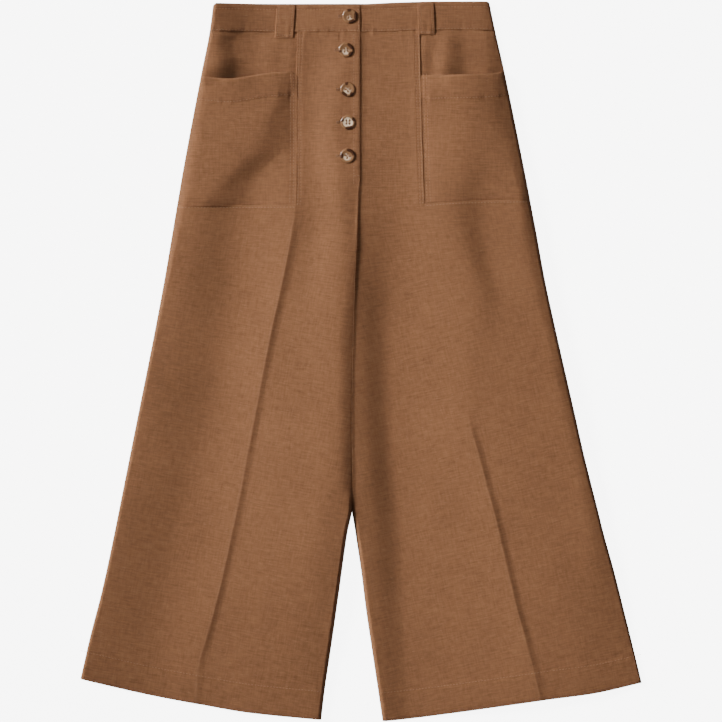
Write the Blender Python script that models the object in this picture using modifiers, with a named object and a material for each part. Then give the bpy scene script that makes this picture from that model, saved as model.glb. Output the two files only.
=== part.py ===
"""Wide-leg linen culottes with patch pockets and a button fly, laid flat with the front up.

Sizes are in millimetres until they reach a mesh. x runs towards the wearer's left, and depth runs down from
the top of the waist. The back lies flat on the surface below, at height 0, and the front lies on it. The right
front laps over the left one at the fly. The origin is the middle of the garment, on the surface.
"""

import math
from collections import namedtuple

import bmesh
import bpy
import numpy as np

MM = 0.001

# Cut and make
LENGTH = 900.0  # top of the waist to the lowest point of the hem
CLOTH = 1.2  # wall of one layer with its turned edges
WAISTBAND_CLOTH = 1.8  # wall of the folded and interfaced band
LOOP_CLOTH = 1.6  # wall of a folded belt loop
SEAM_GAP = 0.3  # between neighbouring pieces
LAYER_GAP = 0.4  # between a piece and what it lies on
SOLID_LIE = 0.26  # share of the heights in the lie tables that the solids keep
MOST_LIFT = 3.3  # highest that the front stands off its resting height, so that no gap under it reaches 4
HIP_ROLL = 20.0  # width over which the front rolls down to the side seam, at the hip
SIDE_ROLL = 12.0  # and at the leg
INNER_ROLL = 12.0  # and at the inseam
POCKET_INSET = 2.0  # of a pocket's inner edge from the front seam
GAPE_REACH = 40.0  # how far below its mouth a pocket stands open

# Fly and buttons
FLY_EDGE_X = -0.9  # free edge of the right front, down to the end of the fly
FLY_END = 222.0  # depth where the lap ends
FLY_CLOSED = 233.0  # depth where the two fronts meet edge to edge
STAND_WIDTH = 30.0  # button stand under the lap
STAND_EDGE_X = -3.2  # where the stand meets the left front, hidden under the lap
FLY_LIFT = 2.3  # of the lap, which lies on the button stand
FLY_SLOPE = 26.0  # width over which the lap comes down beside the stand
BUTTON_DIAMETER = 20.0
BUTTON_HOLE = 1.9
BUTTON_HOLE_PITCH = 3.6
BUTTON_STEPS = 24

# Belt loops
LOOP_WIDTH = 21.5
LOOP_BULGE = 1.2  # height of the tunnel that a belt goes through

# Faces along each piece
SIDE_COLUMNS = 10  # side seam to front seam or crease
CENTRE_COLUMNS = 12  # front seam or crease to centre or inseam
HIP_ROWS = 7
LEG_ROWS = 26
POCKET_ROWS = 8
BAND_COLUMNS = 14
BAND_ROWS = 3
BACK_COLUMNS = 5
BACK_ROWS = 24
LOOP_ROWS = 8
SETTLING_ROUNDS = 6  # a point's depth and its x each depend on the other

LINEN = (0.254, 0.114, 0.053, 1.0)
BUTTON_BROWN = (0.16, 0.06, 0.025, 1.0)

Line = namedtuple("Line", "x depth")
# The front seam runs down to the pocket's lower edge, and the pressed crease goes on from it to the hem.
Section = namedtuple("Section", "depth side seam inner")
# The lie of the cloth: its height at the side seam, and the x and height of each ridge or dip from there to the
# inseam. The solids have a share of these heights.
Lie = namedtuple("Lie", "depth side outer_x outer dip_x dip middle_x middle centre_x centre roll_x roll")
# The crease's height, and how far its slopes reach on either side.
Crease = namedtuple("Crease", "depth height left right")
# How far the mouth of a pocket stands open, and where.
Gape = namedtuple("Gape", "x half_width height")
Leg = namedtuple("Leg", "name sections hip_line hem mouth gape creases hip_lie pocket_lie leg_lie")
Loop = namedtuple("Loop", "name leg top_x low_x low_depth")
Button = namedtuple("Button", "x depth")

WAIST_TOP = [Line(-185, 2.8), Line(-1, 3.2), Line(40, 1.6), Line(98, 0.2), Line(161, 0)]
WAIST_SEAM = [Line(-190, 38.2), Line(-1, 38.4), Line(60, 37.2), Line(120, 36.0), Line(168, 36.6)]

RIGHT = Leg(
    name="right",
    sections=[
        Section(0, -184.5, -78.6, -0.9),
        Section(38, -189.5, -79.3, -0.9),
        Section(88, -199.4, -80.6, -0.9),
        Section(FLY_END, -224.6, -81.0, -0.9),
        Section(FLY_CLOSED, -226.4, -81.2, -3.3),
        Section(255, -230.2, -81.6, -4.2),
        Section(287, -235.6, -86.0, -5.3),
        Section(348, -246.0, -96.0, -8.3),
        Section(413, -258.2, -111.0, -10.3),
        Section(523, -280.2, -132.0, -13.3),
        Section(632, -302.0, -152.5, -13.0),
        Section(664, -308.4, -159.5, -16.8),
        Section(736, -323.9, -176.5, -27.0),
        Section(798, -339.8, -195.0, -35.8),
        Section(861, -354.2, -203.0, -45.2),
        Section(LENGTH, -363.0, -207.0, -49.8),
    ],
    hip_line=[Line(-231, 255.3), Line(-81, 255.0)],
    hem=[
        Line(-351, 846.8),
        Line(-321, 854.3),
        Line(-261, 868.2),
        Line(-201, 879.3),
        Line(-141, 889.3),
        Line(-49.5, 898.4),
    ],
    mouth=[Line(-200, 91.0), Line(-161, 96.5), Line(-140, 93.5), Line(-117, 88.5), Line(-82, 87.5)],
    gape=Gape(-165, 42, 1.9),
    creases=[
        Crease(250, 0.0, 26, 7),
        Crease(285, 2.0, 34, 8),
        Crease(420, 2.2, 42, 8),
        Crease(600, 1.9, 60, 8),
        Crease(LENGTH, 1.2, 50, 8),
    ],
    hip_lie=[
        Lie(0, 4.2, -174, 5.0, -139, 1.5, -70, 2.2, -39, 3.4, -11, 4.6),
        Lie(73, 6.0, -185, 8.2, -144, 0.6, -76, 2.6, -34, 5.4, -11, 5.0),
        Lie(161, 4.2, -184, 6.0, -139, 0.5, -69, 2.2, -32, 6.6, -11, 5.6),
        Lie(236, 5.0, -194, 6.8, -142, 0.4, -60, 3.2, -29, 7.6, -11, 6.0),
    ],
    pocket_lie=[
        Lie(88, 4.0, -121, 6.9, -85, 2.4, -70, 2.2, -34, 5.7, -11, 5.1),
        Lie(123, 4.2, -121, 7.6, -84, 1.4, -66, 2.0, -34, 6.2, -11, 5.4),
        Lie(161, 4.4, -138, 7.9, -92, 0.8, -64, 2.2, -32, 6.6, -11, 5.6),
        Lie(236, 5.0, -186, 8.0, -140, 0.5, -60, 3.2, -29, 7.6, -11, 6.0),
    ],
    leg_lie=[
        Lie(280, 6.0, -211, 8.0, -149, 0.4, -64, 4.4, -26, 9.0, -11, 6.6),
        Lie(323, 7.2, -222, 8.8, -146, 0.4, -76, 3.0, -29, 9.6, -16, 6.8),
        Lie(373, 8.6, -231, 9.8, -150, 0.4, -89, 2.6, -34, 10.2, -20, 7.0),
        Lie(498, 9.8, -254, 11.2, -166, 0.4, -116, 2.2, -38, 11.2, -21, 7.6),
        Lie(623, 9.6, -279, 10.8, -198, 0.4, -142, 1.8, -44, 11.4, -24, 7.8),
        Lie(748, 7.2, -311, 8.4, -241, 0.6, -168, 2.0, -61, 9.6, -38, 7.0),
        Lie(LENGTH, 4.0, -344, 4.4, -276, 1.4, -201, 1.8, -79, 5.4, -59, 4.2),
    ],
)
LEFT = Leg(
    name="left",
    sections=[
        Section(0, 160.3, 73.1, -2.9),
        Section(38, 168.3, 73.3, -2.9),
        Section(88, 179.6, 74.2, -2.9),
        Section(FLY_CLOSED, 208.9, 78.3, -2.9),
        Section(255, 213.0, 79.2, -3.7),
        Section(287, 219.1, 87.0, -4.9),
        Section(348, 230.2, 103.0, -7.3),
        Section(413, 244.3, 118.0, -8.9),
        Section(523, 269.3, 137.0, -11.5),
        Section(563, 278.2, 152.0, -11.4),
        Section(605, 288.6, 164.5, -11.3),
        Section(632, 295.5, 172.0, -11.2),
        Section(664, 303.4, 180.5, -7.1),
        Section(711, 316.4, 189.6, 0.0),
        Section(761, 329.0, 202.0, 6.2),
        Section(811, 341.4, 214.5, 13.7),
        Section(863, 353.8, 227.0, 21.5),
        Section(LENGTH, 362.6, 236.0, 27.0),
    ],
    hip_line=[Line(78, 253.6), Line(130, 250.3), Line(213, 248.4)],
    hem=[
        Line(27, 900.0),
        Line(51, 898.0),
        Line(111, 890.5),
        Line(231, 873.0),
        Line(291, 865.2),
        Line(351, 852.0),
    ],
    mouth=[Line(75, 91.0), Line(140, 91.0), Line(180, 87.5)],
    gape=Gape(118, 26, 0.6),
    creases=[
        Crease(480, 0.0, 50, 20),
        Crease(545, 1.5, 55, 8),
        Crease(640, 1.9, 60, 8),
        Crease(LENGTH, 1.4, 60, 8),
    ],
    hip_lie=[
        Lie(0, 2.4, 152, 3.4, 129, 2.4, 86, 5.0, 18, 2.4, 1, 2.6),
        Lie(73, 3.2, 160, 5.4, 126, 4.0, 91, 8.4, 11, 1.6, 1, 2.4),
        Lie(161, 2.4, 176, 3.4, 156, 5.0, 125, 8.0, 24, 1.2, 1, 1.8),
        Lie(236, 3.4, 184, 4.8, 152, 4.2, 112, 8.6, 24, 1.2, 1, 1.8),
    ],
    pocket_lie=[
        Lie(88, 2.0, 170, 3.8, 154, 5.6, 125, 8.2, 16, 1.5, 1, 2.2),
        Lie(161, 1.8, 176, 3.8, 156, 5.6, 125, 9.2, 24, 1.2, 1, 1.8),
        Lie(236, 3.4, 184, 4.8, 152, 4.2, 112, 8.8, 24, 1.2, 1, 1.8),
    ],
    leg_lie=[
        Lie(280, 5.0, 196, 6.2, 155, 4.0, 118, 9.0, 31, 0.9, 1, 2.4),
        Lie(323, 5.6, 204, 6.8, 169, 5.0, 124, 9.4, 36, 0.5, 2, 4.6),
        Lie(373, 6.4, 211, 7.6, 182, 6.6, 132, 10.0, 39, 0.5, 5, 6.4),
        Lie(498, 8.4, 244, 9.6, 210, 8.8, 166, 10.8, 41, 0.5, 10, 8.2),
        Lie(623, 8.8, 274, 10.0, 230, 10.8, 186, 10.4, 46, 0.5, 15, 8.0),
        Lie(748, 6.6, 301, 8.0, 255, 9.4, 214, 9.0, 54, 0.5, 22, 6.0),
        Lie(LENGTH, 3.0, 326, 4.0, 286, 5.2, 246, 6.0, 59, 0.8, 35, 4.0),
    ],
)
LOOPS = [Loop("belt_loop_right", RIGHT, -92.7, -96.2, 46.5), Loop("belt_loop_left", LEFT, 81.6, 83.6, 42.0)]
BUTTONS = [Button(-15.0, 19), Button(-18.5, 61.5), Button(-16.5, 111), Button(-16.0, 152), Button(-16.3, 194)]


def through(knots, values, at):
    """The value at a place on a smooth curve through the knots, which never passes beyond them."""
    knots, values = np.asarray(knots, float), np.asarray(values, float)
    step = np.diff(knots)
    slope = np.diff(values) / step
    tangents = np.concatenate(([slope[0]], np.zeros(len(slope) - 1), [slope[-1]]))
    for k in range(1, len(slope)):
        before, after = slope[k - 1], slope[k]
        if before * after > 0:
            tangents[k] = 2 * before * after / (before + after)
    at = min(max(at, knots[0]), knots[-1])
    k = min(max(int(np.searchsorted(knots, at)) - 1, 0), len(step) - 1)
    t = (at - knots[k]) / step[k]
    start, end = values[k], values[k + 1]
    return (
        start * (1 + 2 * t) * (1 - t) ** 2
        + tangents[k] * step[k] * t * (1 - t) ** 2
        + end * t * t * (3 - 2 * t)
        - tangents[k + 1] * step[k] * t * t * (1 - t)
    )


def along(table, key, column, at):
    """One named column of a table at a value of another."""
    return through([getattr(row, key) for row in table], [getattr(row, column) for row in table], at)


def edge(leg, column, depth):
    return along(leg.sections, "depth", column, depth)


def level(line, x):
    return along(line, "x", "depth", x)


def ease(t):
    """0 to 1 with a level start and end."""
    t = min(max(t, 0.0), 1.0)
    return t * t * (3 - 2 * t)


def even(count):
    """Fractions from 0 to 1 in even steps."""
    return [k / count for k in range(count + 1)]


def crowded(count):
    """Fractions from 0 to 1 that crowd towards both ends."""
    return [(1 - math.cos(math.pi * part)) / 2 for part in even(count)]


# The lie of the cloth


def hump(offset, left, right):
    """A soft hump: 1 on the line and 0 past its width on either side."""
    t = min(abs(offset) / (left if offset < 0 else right), 1.0)
    return (1 - t * t) ** 2


def lie_height(leg, rows, x, depth):
    """Height of the cloth on a curve through the ridges and dips across it, rolled down at its edges."""
    side_height, *lines = [along(rows, "depth", column, depth) for column in Lie._fields[1:]]
    side, inner = edge(leg, "side", depth), edge(leg, "inner", depth)
    # The right front stays up along the fly. The left one goes flat under the lap.
    inseam = ease((depth - FLY_END) / (leg.hip_line[0].depth - FLY_END)) if leg is RIGHT else 1.0
    inner_height = lines[-1] * (1 - 0.25 * inseam)
    inwards = 1 if leg is RIGHT else -1
    knots = [inwards * knot for knot in (side, *lines[0::2], inner)]
    height = through(knots, [side_height, *lines[1::2], inner_height], inwards * x)
    side_roll = HIP_ROLL + (SIDE_ROLL - HIP_ROLL) * ease((depth - FLY_CLOSED) / 200)
    inner_roll = ease(abs(x - inner) / INNER_ROLL)
    return height * ease(abs(x - side) / side_roll) * (1 - inseam * (1 - inner_roll))


def crease_height(leg, x, depth):
    """The pressed crease: a long rise to a sharp line, then a short drop."""
    rows = leg.creases
    if depth <= rows[0].depth:
        return 0.0
    height, left, right = (along(rows, "depth", column, depth) for column in ("height", "left", "right"))
    offset = x - edge(leg, "seam", depth)
    t = min(abs(offset) / (left if offset < 0 else right), 1.0)
    return height * (1 - t) ** 1.6


def fly_lift(x, depth):
    """The right front lies on the button stand and comes down beside it and below it."""
    beside = 1 - ease((STAND_EDGE_X - STAND_WIDTH - x) / FLY_SLOPE)
    below = 1 - ease((depth - FLY_CLOSED) / 30)
    return FLY_LIFT * beside * below


def lift(leg, upper_lie, x, depth):
    """How far the front stands off its resting height at a place on it."""
    height = SOLID_LIE * lie_height(leg, upper_lie + leg.leg_lie, x, depth) + crease_height(leg, x, depth)
    if leg is RIGHT:
        height = max(height, fly_lift(x, depth))
    return min(max(height, 0.0), MOST_LIFT)


def underside(leg, x, depth):
    """Height of the inner face of the front."""
    return CLOTH + SEAM_GAP + lift(leg, leg.hip_lie, x, depth)


def pocket_underside(leg, x, depth):
    """Height of the inner face of a pocket, on or over the hip panel."""
    highest = max(lift(leg, leg.hip_lie, x, depth), lift(leg, leg.pocket_lie, x, depth))
    return 2 * CLOTH + SEAM_GAP + LAYER_GAP + highest + mouth_gape(leg, x, depth)


# Making the pieces


def material(name, colour, roughness):
    made = bpy.data.materials.new(name)
    made.use_nodes = True
    shader = made.node_tree.nodes["Principled BSDF"]
    shader.inputs["Base Color"].default_value = colour
    shader.inputs["Roughness"].default_value = roughness
    shader.inputs["Metallic"].default_value = 0.0
    made.diffuse_color = colour
    return made


def clear_scene():
    for obj in list(bpy.data.objects):
        bpy.data.objects.remove(obj, do_unlink=True)


def collection(name):
    made = bpy.data.collections.new(name)
    bpy.context.scene.collection.children.link(made)
    return made


def add_object(name, mesh, group, colour=LINEN, roughness=0.9):
    obj = bpy.data.objects.new(name, mesh)
    obj.data.materials.append(material(name, colour, roughness))
    group.objects.link(obj)
    return obj


def add_cloth(name, group, stops, rows, place, thickness=CLOTH, cut_away=None):
    """One layer of cloth. place gives x, depth and the underside's height at a stop across and a row down."""
    columns = len(stops) - 1
    last_row = len(rows) - 1
    mesh = bpy.data.meshes.new(name)
    grid = bmesh.new()
    bmesh.ops.create_grid(grid, x_segments=columns, y_segments=last_row, size=1.0)
    doomed = []
    for vertex in grid.verts:
        column = round((vertex.co.x + 1) / 2 * columns)
        row = round((1 - vertex.co.y) / 2 * last_row)
        stop, down = stops[column], rows[row]
        if cut_away and cut_away(stop, down):
            doomed.append(vertex)
            continue
        x, depth, height = place(stop, down)
        vertex.co = (x * MM, (LENGTH / 2 - depth) * MM, height * MM)
    bmesh.ops.delete(grid, geom=doomed, context="VERTS")
    grid.to_mesh(mesh)
    grid.free()
    mesh.shade_smooth()
    mesh.set_sharp_from_angle(angle=math.radians(40))
    obj = add_object(name, mesh, group)
    wall = obj.modifiers.new("wall", "SOLIDIFY")
    wall.thickness = thickness * MM
    wall.offset = 1.0
    return obj


def across(leg, stop, depth, inset=0.0):
    """x at a stop: 0 on the side seam, 1 on the front seam or crease, 2 on the centre or inseam."""
    side, seam, inner = (edge(leg, column, depth) for column in ("side", "seam", "inner"))
    seam += math.copysign(inset, side - seam)
    if stop <= 1:
        return side + (seam - side) * stop
    return seam + (inner - seam) * (stop - 1)


def settle(x_at, above, below, fraction):
    """The x and depth of the point that is a fraction of the way down a column from one line to another."""
    depth = LENGTH / 2
    for _ in range(SETTLING_ROUNDS):
        x = x_at(depth)
        depth = above(x) + (below(x) - above(x)) * fraction
    return x, depth


def band_top(x):
    return level(WAIST_TOP, x)


def band_low(x):
    return level(WAIST_SEAM, x) - SEAM_GAP / 2


def panel_top(x):
    return level(WAIST_SEAM, x) + SEAM_GAP / 2


def leg_lines(leg):
    """The lines across a leg: its top seam, the pocket's lower edge and the hem."""
    return panel_top, lambda x: level(leg.hip_line, x), lambda x: level(leg.hem, x)


def in_order(leg, stops):
    """Stops from the side seam inwards, turned round on the left leg so that x grows."""
    return stops if leg is RIGHT else stops[::-1]


def leg_stops(leg):
    return in_order(leg, crowded(SIDE_COLUMNS)[:-1] + [1 + part for part in crowded(CENTRE_COLUMNS)])


def hip_stops(leg):
    return in_order(leg, crowded(SIDE_COLUMNS))


def hip_rows():
    """Rows from the top seam, 0, to the pocket's lower edge, 1, with one on each side of the fly's end."""
    top, low = WAIST_SEAM[1].depth, RIGHT.hip_line[0].depth
    fly_end, fly_closed = ((depth - top) / (low - top) for depth in (FLY_END, FLY_CLOSED))
    return [fly_end * part for part in even(HIP_ROWS)] + [fly_closed, 1]


def leg_rows():
    """Rows down a leg: 0 on the top seam, 1 on the pocket's lower edge, 2 on the hem."""
    return hip_rows()[:-1] + [1 + part for part in even(LEG_ROWS)]


def add_front(leg, group):
    """The front leg: its centre part reaches the waist, and beside that it starts below the pocket."""

    lines = leg_lines(leg)

    def place(stop, row):
        first = 0 if row < 1 else 1
        above, below = lines[first : first + 2]
        x, depth = settle(lambda depth: across(leg, stop, depth), above, below, row - first)
        return x, depth, underside(leg, x, depth)

    def above_pocket(stop, row):
        return stop < 1 and row < 1

    return add_cloth(f"front_{leg.name}", group, leg_stops(leg), leg_rows(), place, cut_away=above_pocket)


def add_hip_panel(leg, group):
    """The side of the hip, behind the pocket, from the waist down to the leg."""

    def low(x):
        return level(leg.hip_line, x) - SEAM_GAP

    def place(stop, fraction):
        x, depth = settle(lambda depth: across(leg, stop, depth, SEAM_GAP), panel_top, low, fraction)
        return x, depth, underside(leg, x, depth)

    return add_cloth(f"hip_panel_{leg.name}", group, hip_stops(leg), hip_rows(), place)


def mouth_gape(leg, x, depth):
    """How far a pocket stands open at a place near its mouth."""
    gape = leg.gape
    open_here = gape.height * hump(x - gape.x, gape.half_width, gape.half_width)
    return open_here * (1 - ease((depth - level(leg.mouth, x)) / GAPE_REACH))


def add_pocket(leg, group):
    """A patch pocket on the hip panel, from its points moved out, caught in the side and leg seams."""

    def mouth(x):
        return level(leg.mouth, x)

    def low(x):
        return level(leg.hip_line, x) - SEAM_GAP

    def place(stop, fraction):
        x, depth = settle(lambda depth: across(leg, stop, depth, POCKET_INSET), mouth, low, fraction)
        return x, depth, pocket_underside(leg, x, depth)

    return add_cloth(f"pocket_{leg.name}", group, hip_stops(leg), even(POCKET_ROWS), place)


def add_waistband_front(leg, group):
    """Half of the front band. The left half goes on under the lap as far as the button stand does."""
    end = FLY_EDGE_X if leg is RIGHT else STAND_EDGE_X - STAND_WIDTH
    flat_from = edge(leg, "inner", 0)

    def x_at(stop):
        return lambda depth: edge(leg, "side", depth) * (1 - stop) + end * stop

    def place(stop, fraction):
        x, depth = settle(x_at(stop), band_top, band_low, fraction)
        under_lap = leg is LEFT and x < flat_from
        return x, depth, underside(leg, flat_from if under_lap else x, depth)

    stops = in_order(leg, crowded(BAND_COLUMNS))
    return add_cloth(f"waistband_front_{leg.name}", group, stops, even(BAND_ROWS), place, WAISTBAND_CLOTH)


def add_button_stand(group):
    """The strip under the lap that carries the buttons, joined to the left front."""

    def place(stop, fraction):
        x = STAND_EDGE_X - STAND_WIDTH * (1 - stop)
        return x, panel_top(x) + (FLY_END - panel_top(x)) * fraction, CLOTH + SEAM_GAP

    return add_cloth("button_stand", group, even(2), even(HIP_ROWS), place)


def back_inner(leg, depth):
    """The back's centre seam above the crotch, and its inseam below."""
    inner = edge(leg, "inner", depth)
    return min(inner, edge(LEFT, "inner", depth) - SEAM_GAP) if leg is RIGHT else inner


def add_back(leg, group):
    """A back leg, flat on the surface below."""

    def x_at(stop):
        return lambda depth: edge(leg, "side", depth) * (1 - stop) + back_inner(leg, depth) * stop

    def place(stop, fraction):
        x, depth = settle(x_at(stop), panel_top, lambda x: level(leg.hem, x), fraction)
        return x, depth, 0.0

    return add_cloth(f"back_{leg.name}", group, in_order(leg, even(BACK_COLUMNS)), even(BACK_ROWS), place)


def add_waistband_back(group):
    def x_at(stop):
        return lambda depth: edge(RIGHT, "side", depth) * (1 - stop) + edge(LEFT, "side", depth) * stop

    def place(stop, fraction):
        x, depth = settle(x_at(stop), band_top, band_low, fraction)
        return x, depth, 0.0

    return add_cloth("waistband_back", group, even(2 * BACK_COLUMNS), even(2), place)


def add_loop(loop, group):
    """A belt loop: a folded strip over the band, sewn down above it and just below it."""

    def place(stop, fraction):
        x = loop.top_x + (loop.low_x - loop.top_x) * fraction + LOOP_WIDTH * (stop - 0.5)
        depth = band_top(x) + (loop.low_depth - band_top(x)) * fraction
        tunnel = LOOP_BULGE * (ease(fraction / 0.3) - ease((fraction - 0.6) / 0.3))
        return x, depth, underside(loop.leg, x, depth) + WAISTBAND_CLOTH + LAYER_GAP + tunnel

    return add_cloth(loop.name, group, even(2), even(LOOP_ROWS), place, LOOP_CLOTH)


# Buttons


def button_mesh():
    """A turned button with a raised rim and a dished centre."""
    radius = BUTTON_DIAMETER / 2
    profile = [
        (0, 1.9),
        (radius * 0.55, 1.9),
        (radius * 0.74, 2.9),
        (radius * 0.9, 3.0),
        (radius, 2.2),
        (radius * 0.93, 0.8),
        (radius * 0.7, 0),
        (0, 0),
    ]
    mesh = bpy.data.meshes.new("button")
    outline = bmesh.new()
    points = [outline.verts.new((r * MM, 0, z * MM)) for r, z in profile]
    for first, second in zip(points, points[1:]):
        outline.edges.new((first, second))
    outline.to_mesh(mesh)
    outline.free()
    return mesh


def add_cutter(x, depth, group, name):
    mesh = bpy.data.meshes.new(name)
    drill = bmesh.new()
    radius = BUTTON_HOLE / 2 * MM
    bmesh.ops.create_cone(drill, cap_ends=True, segments=8, radius1=radius, radius2=radius, depth=10 * MM)
    drill.to_mesh(mesh)
    drill.free()
    cutter = bpy.data.objects.new(name, mesh)
    cutter.location = (x * MM, (LENGTH / 2 - depth) * MM, (CLOTH + FLY_LIFT + 5) * MM)
    cutter.hide_render = True
    cutter.display_type = "WIRE"
    group.objects.link(cutter)
    return cutter


def add_button(number, x, depth, group, cutters):
    """A four-hole button on the lap, lying flat over whatever is highest under it."""
    band = WAISTBAND_CLOTH if number == 1 else CLOTH
    reach = BUTTON_DIAMETER / 2
    around = [(x + reach * right, depth + reach * down) for right in (-1, 0, 1) for down in (-1, 0, 1)]
    below = [underside(RIGHT, min(x_near, FLY_EDGE_X), depth_near) for x_near, depth_near in around]
    name = f"button_{number}"
    button = add_object(name, button_mesh(), group, BUTTON_BROWN, 0.25)
    button.location = (x * MM, (LENGTH / 2 - depth) * MM, (max(below) + band + LAYER_GAP) * MM)
    turn = button.modifiers.new("turn", "SCREW")
    turn.angle = math.tau
    turn.steps = turn.render_steps = BUTTON_STEPS
    turn.axis = "Z"
    turn.use_merge_vertices = True
    turn.merge_threshold = 0.00001
    turn.use_smooth_shade = True
    half = BUTTON_HOLE_PITCH / 2
    for corner, (right, down) in enumerate([(-half, -half), (half, -half), (-half, half), (half, half)]):
        drill = button.modifiers.new(f"hole {corner}", "BOOLEAN")
        drill.operation = "DIFFERENCE"
        drill.object = add_cutter(x + right, depth + down, cutters, f"{name}_hole_{corner}")
    return button


def main():
    clear_scene()
    garment = collection("culottes")
    cutters = collection("cutters")
    add_waistband_back(garment)
    for leg in (RIGHT, LEFT):
        add_back(leg, garment)
        add_front(leg, garment)
        add_hip_panel(leg, garment)
        add_pocket(leg, garment)
        add_waistband_front(leg, garment)
    add_button_stand(garment)
    for loop in LOOPS:
        add_loop(loop, garment)
    for number, button in enumerate(BUTTONS, start=1):
        add_button(number, button.x, button.depth, garment, cutters)


main()
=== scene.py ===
"""The looks of wide-leg linen culottes with patch pockets and a button fly, laid flat with the front up.

Sizes are in millimetres until they reach a mesh. x runs towards the wearer's left, and depth runs down from
the top of the waist. The back lies flat on the surface below, at height 0, and the front lies on it. The
right front laps over the left one at the fly.
"""

import math
from collections import namedtuple
from functools import partial

import bmesh
import bpy
import numpy as np
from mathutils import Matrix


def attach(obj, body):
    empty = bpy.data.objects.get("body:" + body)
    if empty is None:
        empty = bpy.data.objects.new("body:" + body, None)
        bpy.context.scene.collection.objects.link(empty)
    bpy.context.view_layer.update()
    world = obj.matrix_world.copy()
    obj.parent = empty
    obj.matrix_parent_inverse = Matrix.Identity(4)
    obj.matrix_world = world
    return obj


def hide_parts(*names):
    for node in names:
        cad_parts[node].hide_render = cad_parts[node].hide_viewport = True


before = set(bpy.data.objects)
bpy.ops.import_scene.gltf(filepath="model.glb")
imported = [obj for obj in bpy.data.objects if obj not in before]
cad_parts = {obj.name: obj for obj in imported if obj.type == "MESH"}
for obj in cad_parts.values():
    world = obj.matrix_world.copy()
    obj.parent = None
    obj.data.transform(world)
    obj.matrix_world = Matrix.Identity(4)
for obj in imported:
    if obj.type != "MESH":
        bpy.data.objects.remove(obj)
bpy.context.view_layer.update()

MM = 0.001

# Depths
BAND_MIDDLE = 20.0
WAIST_DEPTH = 38.0  # the seam under the waistband
POCKET_TOP = 91.0
HIP_DEPTH = 252.0  # the seam under the pockets
CROTCH = 287.0
LEGS_PART = 632.0
HEM_ENDS = 860.0  # where the legs' edges give the ends of the hem's row of stitches
HEM_MIDDLE = 876.0
LENGTH = 900.0  # the lowest point of the hem

# Cut and make
BAND_WIDTH = 36.0
BACK_BAND = (354.0, 37.0)  # length and width
BACK_BAND_DROP = 4.0  # how much further down the back waistband reaches than the front one
CLOTH = 1.0  # wall of one layer
WAISTBAND_CLOTH = 1.8  # wall of the folded and interfaced band
LOOP_CLOTH = 1.0  # wall of a folded belt loop, pressed flat
SEAM_GAP = 0.3  # between neighbouring pieces
BACKS_MEET = 1.2  # how far under the right front the two backs meet
TUCKED_UNDER = 1.8  # how far the side pieces go on under the front seam, the hip seam and the waistband
EDGE_BEVEL = 0.3

# Lie of the cloth
BACK_TOP = 1.2  # height of the back's upper face
FRONT_REST = 2.3  # height of the front's upper face where it lies on the back
SEAM_REST = 0.9  # how much lower the front's edges lie, down on the back
INNER_ROLL = 4.0  # width over which the front rolls down to its centre edge and inseam
INSEAM_FALL = 17.0  # width over which the right front falls to the left one where the inseams touch
EDGE_FALL = 1.4  # of the right front towards the left one, from the end of the fly down
EDGE_LIFT = 1.2  # of the left front where it goes under the lap or meets the right one
INSEAM_LIFT = 0.7  # and how much more from the crotch down
MEETING_LIFT = 0.8  # of the left front's very edge, where it meets the right one
UNEVENNESS = 0.28  # of slow waves all over the cloth
PUCKER = 0.16  # of small waves beside a row of stitches
FOLD_RISE = 0.5  # where a hem is folded up
HEM_ROUND = 0.6  # how much lower the hem's very edge is
PANEL_SINKS = 0.6  # how far the hip panel may sink behind an open pocket
BAND_RISE = 0.45  # the waistband's upper face over the front's
BAND_TUCK = 1.6  # how much lower the left half goes on under the lap

# Fly and buttons
FLY_EDGE_X = -0.9  # free edge of the right front, down to the end of the fly
FLY_END = 222.0  # depth where the lap ends
FLY_CLOSED = 233.0  # depth where the two fronts meet edge to edge
STAND_WIDTH = 30.0  # button stand under the lap
STAND_EDGE_X = -3.2
STAND_TOP = 2.7  # height of its upper face
BUTTON_DIAMETER = 18.2
BUTTON_STEPS = 72
BUTTON_HOLE = 1.9
BUTTON_HOLE_PITCH = 3.5
BUTTON_THREAD = 1.25  # height of the thread over the cloth under a button
STRANDS = (-0.28, 0.0, 0.28)  # of a bar of thread, side by side
BUTTONHOLE_OUT = 4.5  # how far a buttonhole reaches out from the button's rim
BUTTONHOLE_IN = 3.0  # and in under it
BUTTONHOLE_PITCH = 0.62
CREAM_REACH = 9.6  # how far the cream reaches from low on the button, for a share of 1

# Depths between which something comes in, and then between which it goes out again
FRONTS_TOUCH = (FLY_END, FLY_END + 20, LEGS_PART - 20, LEGS_PART + 10)
INSEAM_GAP = (CROTCH - 20, CROTCH + 10)
LAP_ENDS = (FLY_END - 10, FLY_END + 2)
EDGE_FALLS = (FLY_END - 57, FLY_END + 13)
FALL_EASES = (CROTCH - 30, CROTCH + 30)
INSEAM_LIFTS = (*FALL_EASES, 520, 620)
EDGES_MEET = (FLY_END - 8, FLY_END + 18)
EDGES_LEAVE = (LEGS_PART - 14, LEGS_PART + 16)
BACKS_LEAVE = (LEGS_PART - 8, LEGS_PART + 16)
BESIDE_LEFT = (CROTCH - 40, CROTCH + 20, LEGS_PART - 32, LEGS_PART + 8)
FALL_WIDENS = (340, 440)

# Pockets and belt loops
POCKET_STANDS = 1.0  # a pocket's upper face over the hip panel's
GAPE_REACH = 40.0  # how far below its mouth a pocket stands open
POCKET_GAPE = 0.55  # the pocket's share of the gape. The panel behind it sinks in as well
LOOP_CLEAR = 0.15  # between a belt loop and the waistband
LOOP_BULGE = 0.6  # height of the tunnel that a belt goes through

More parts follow.
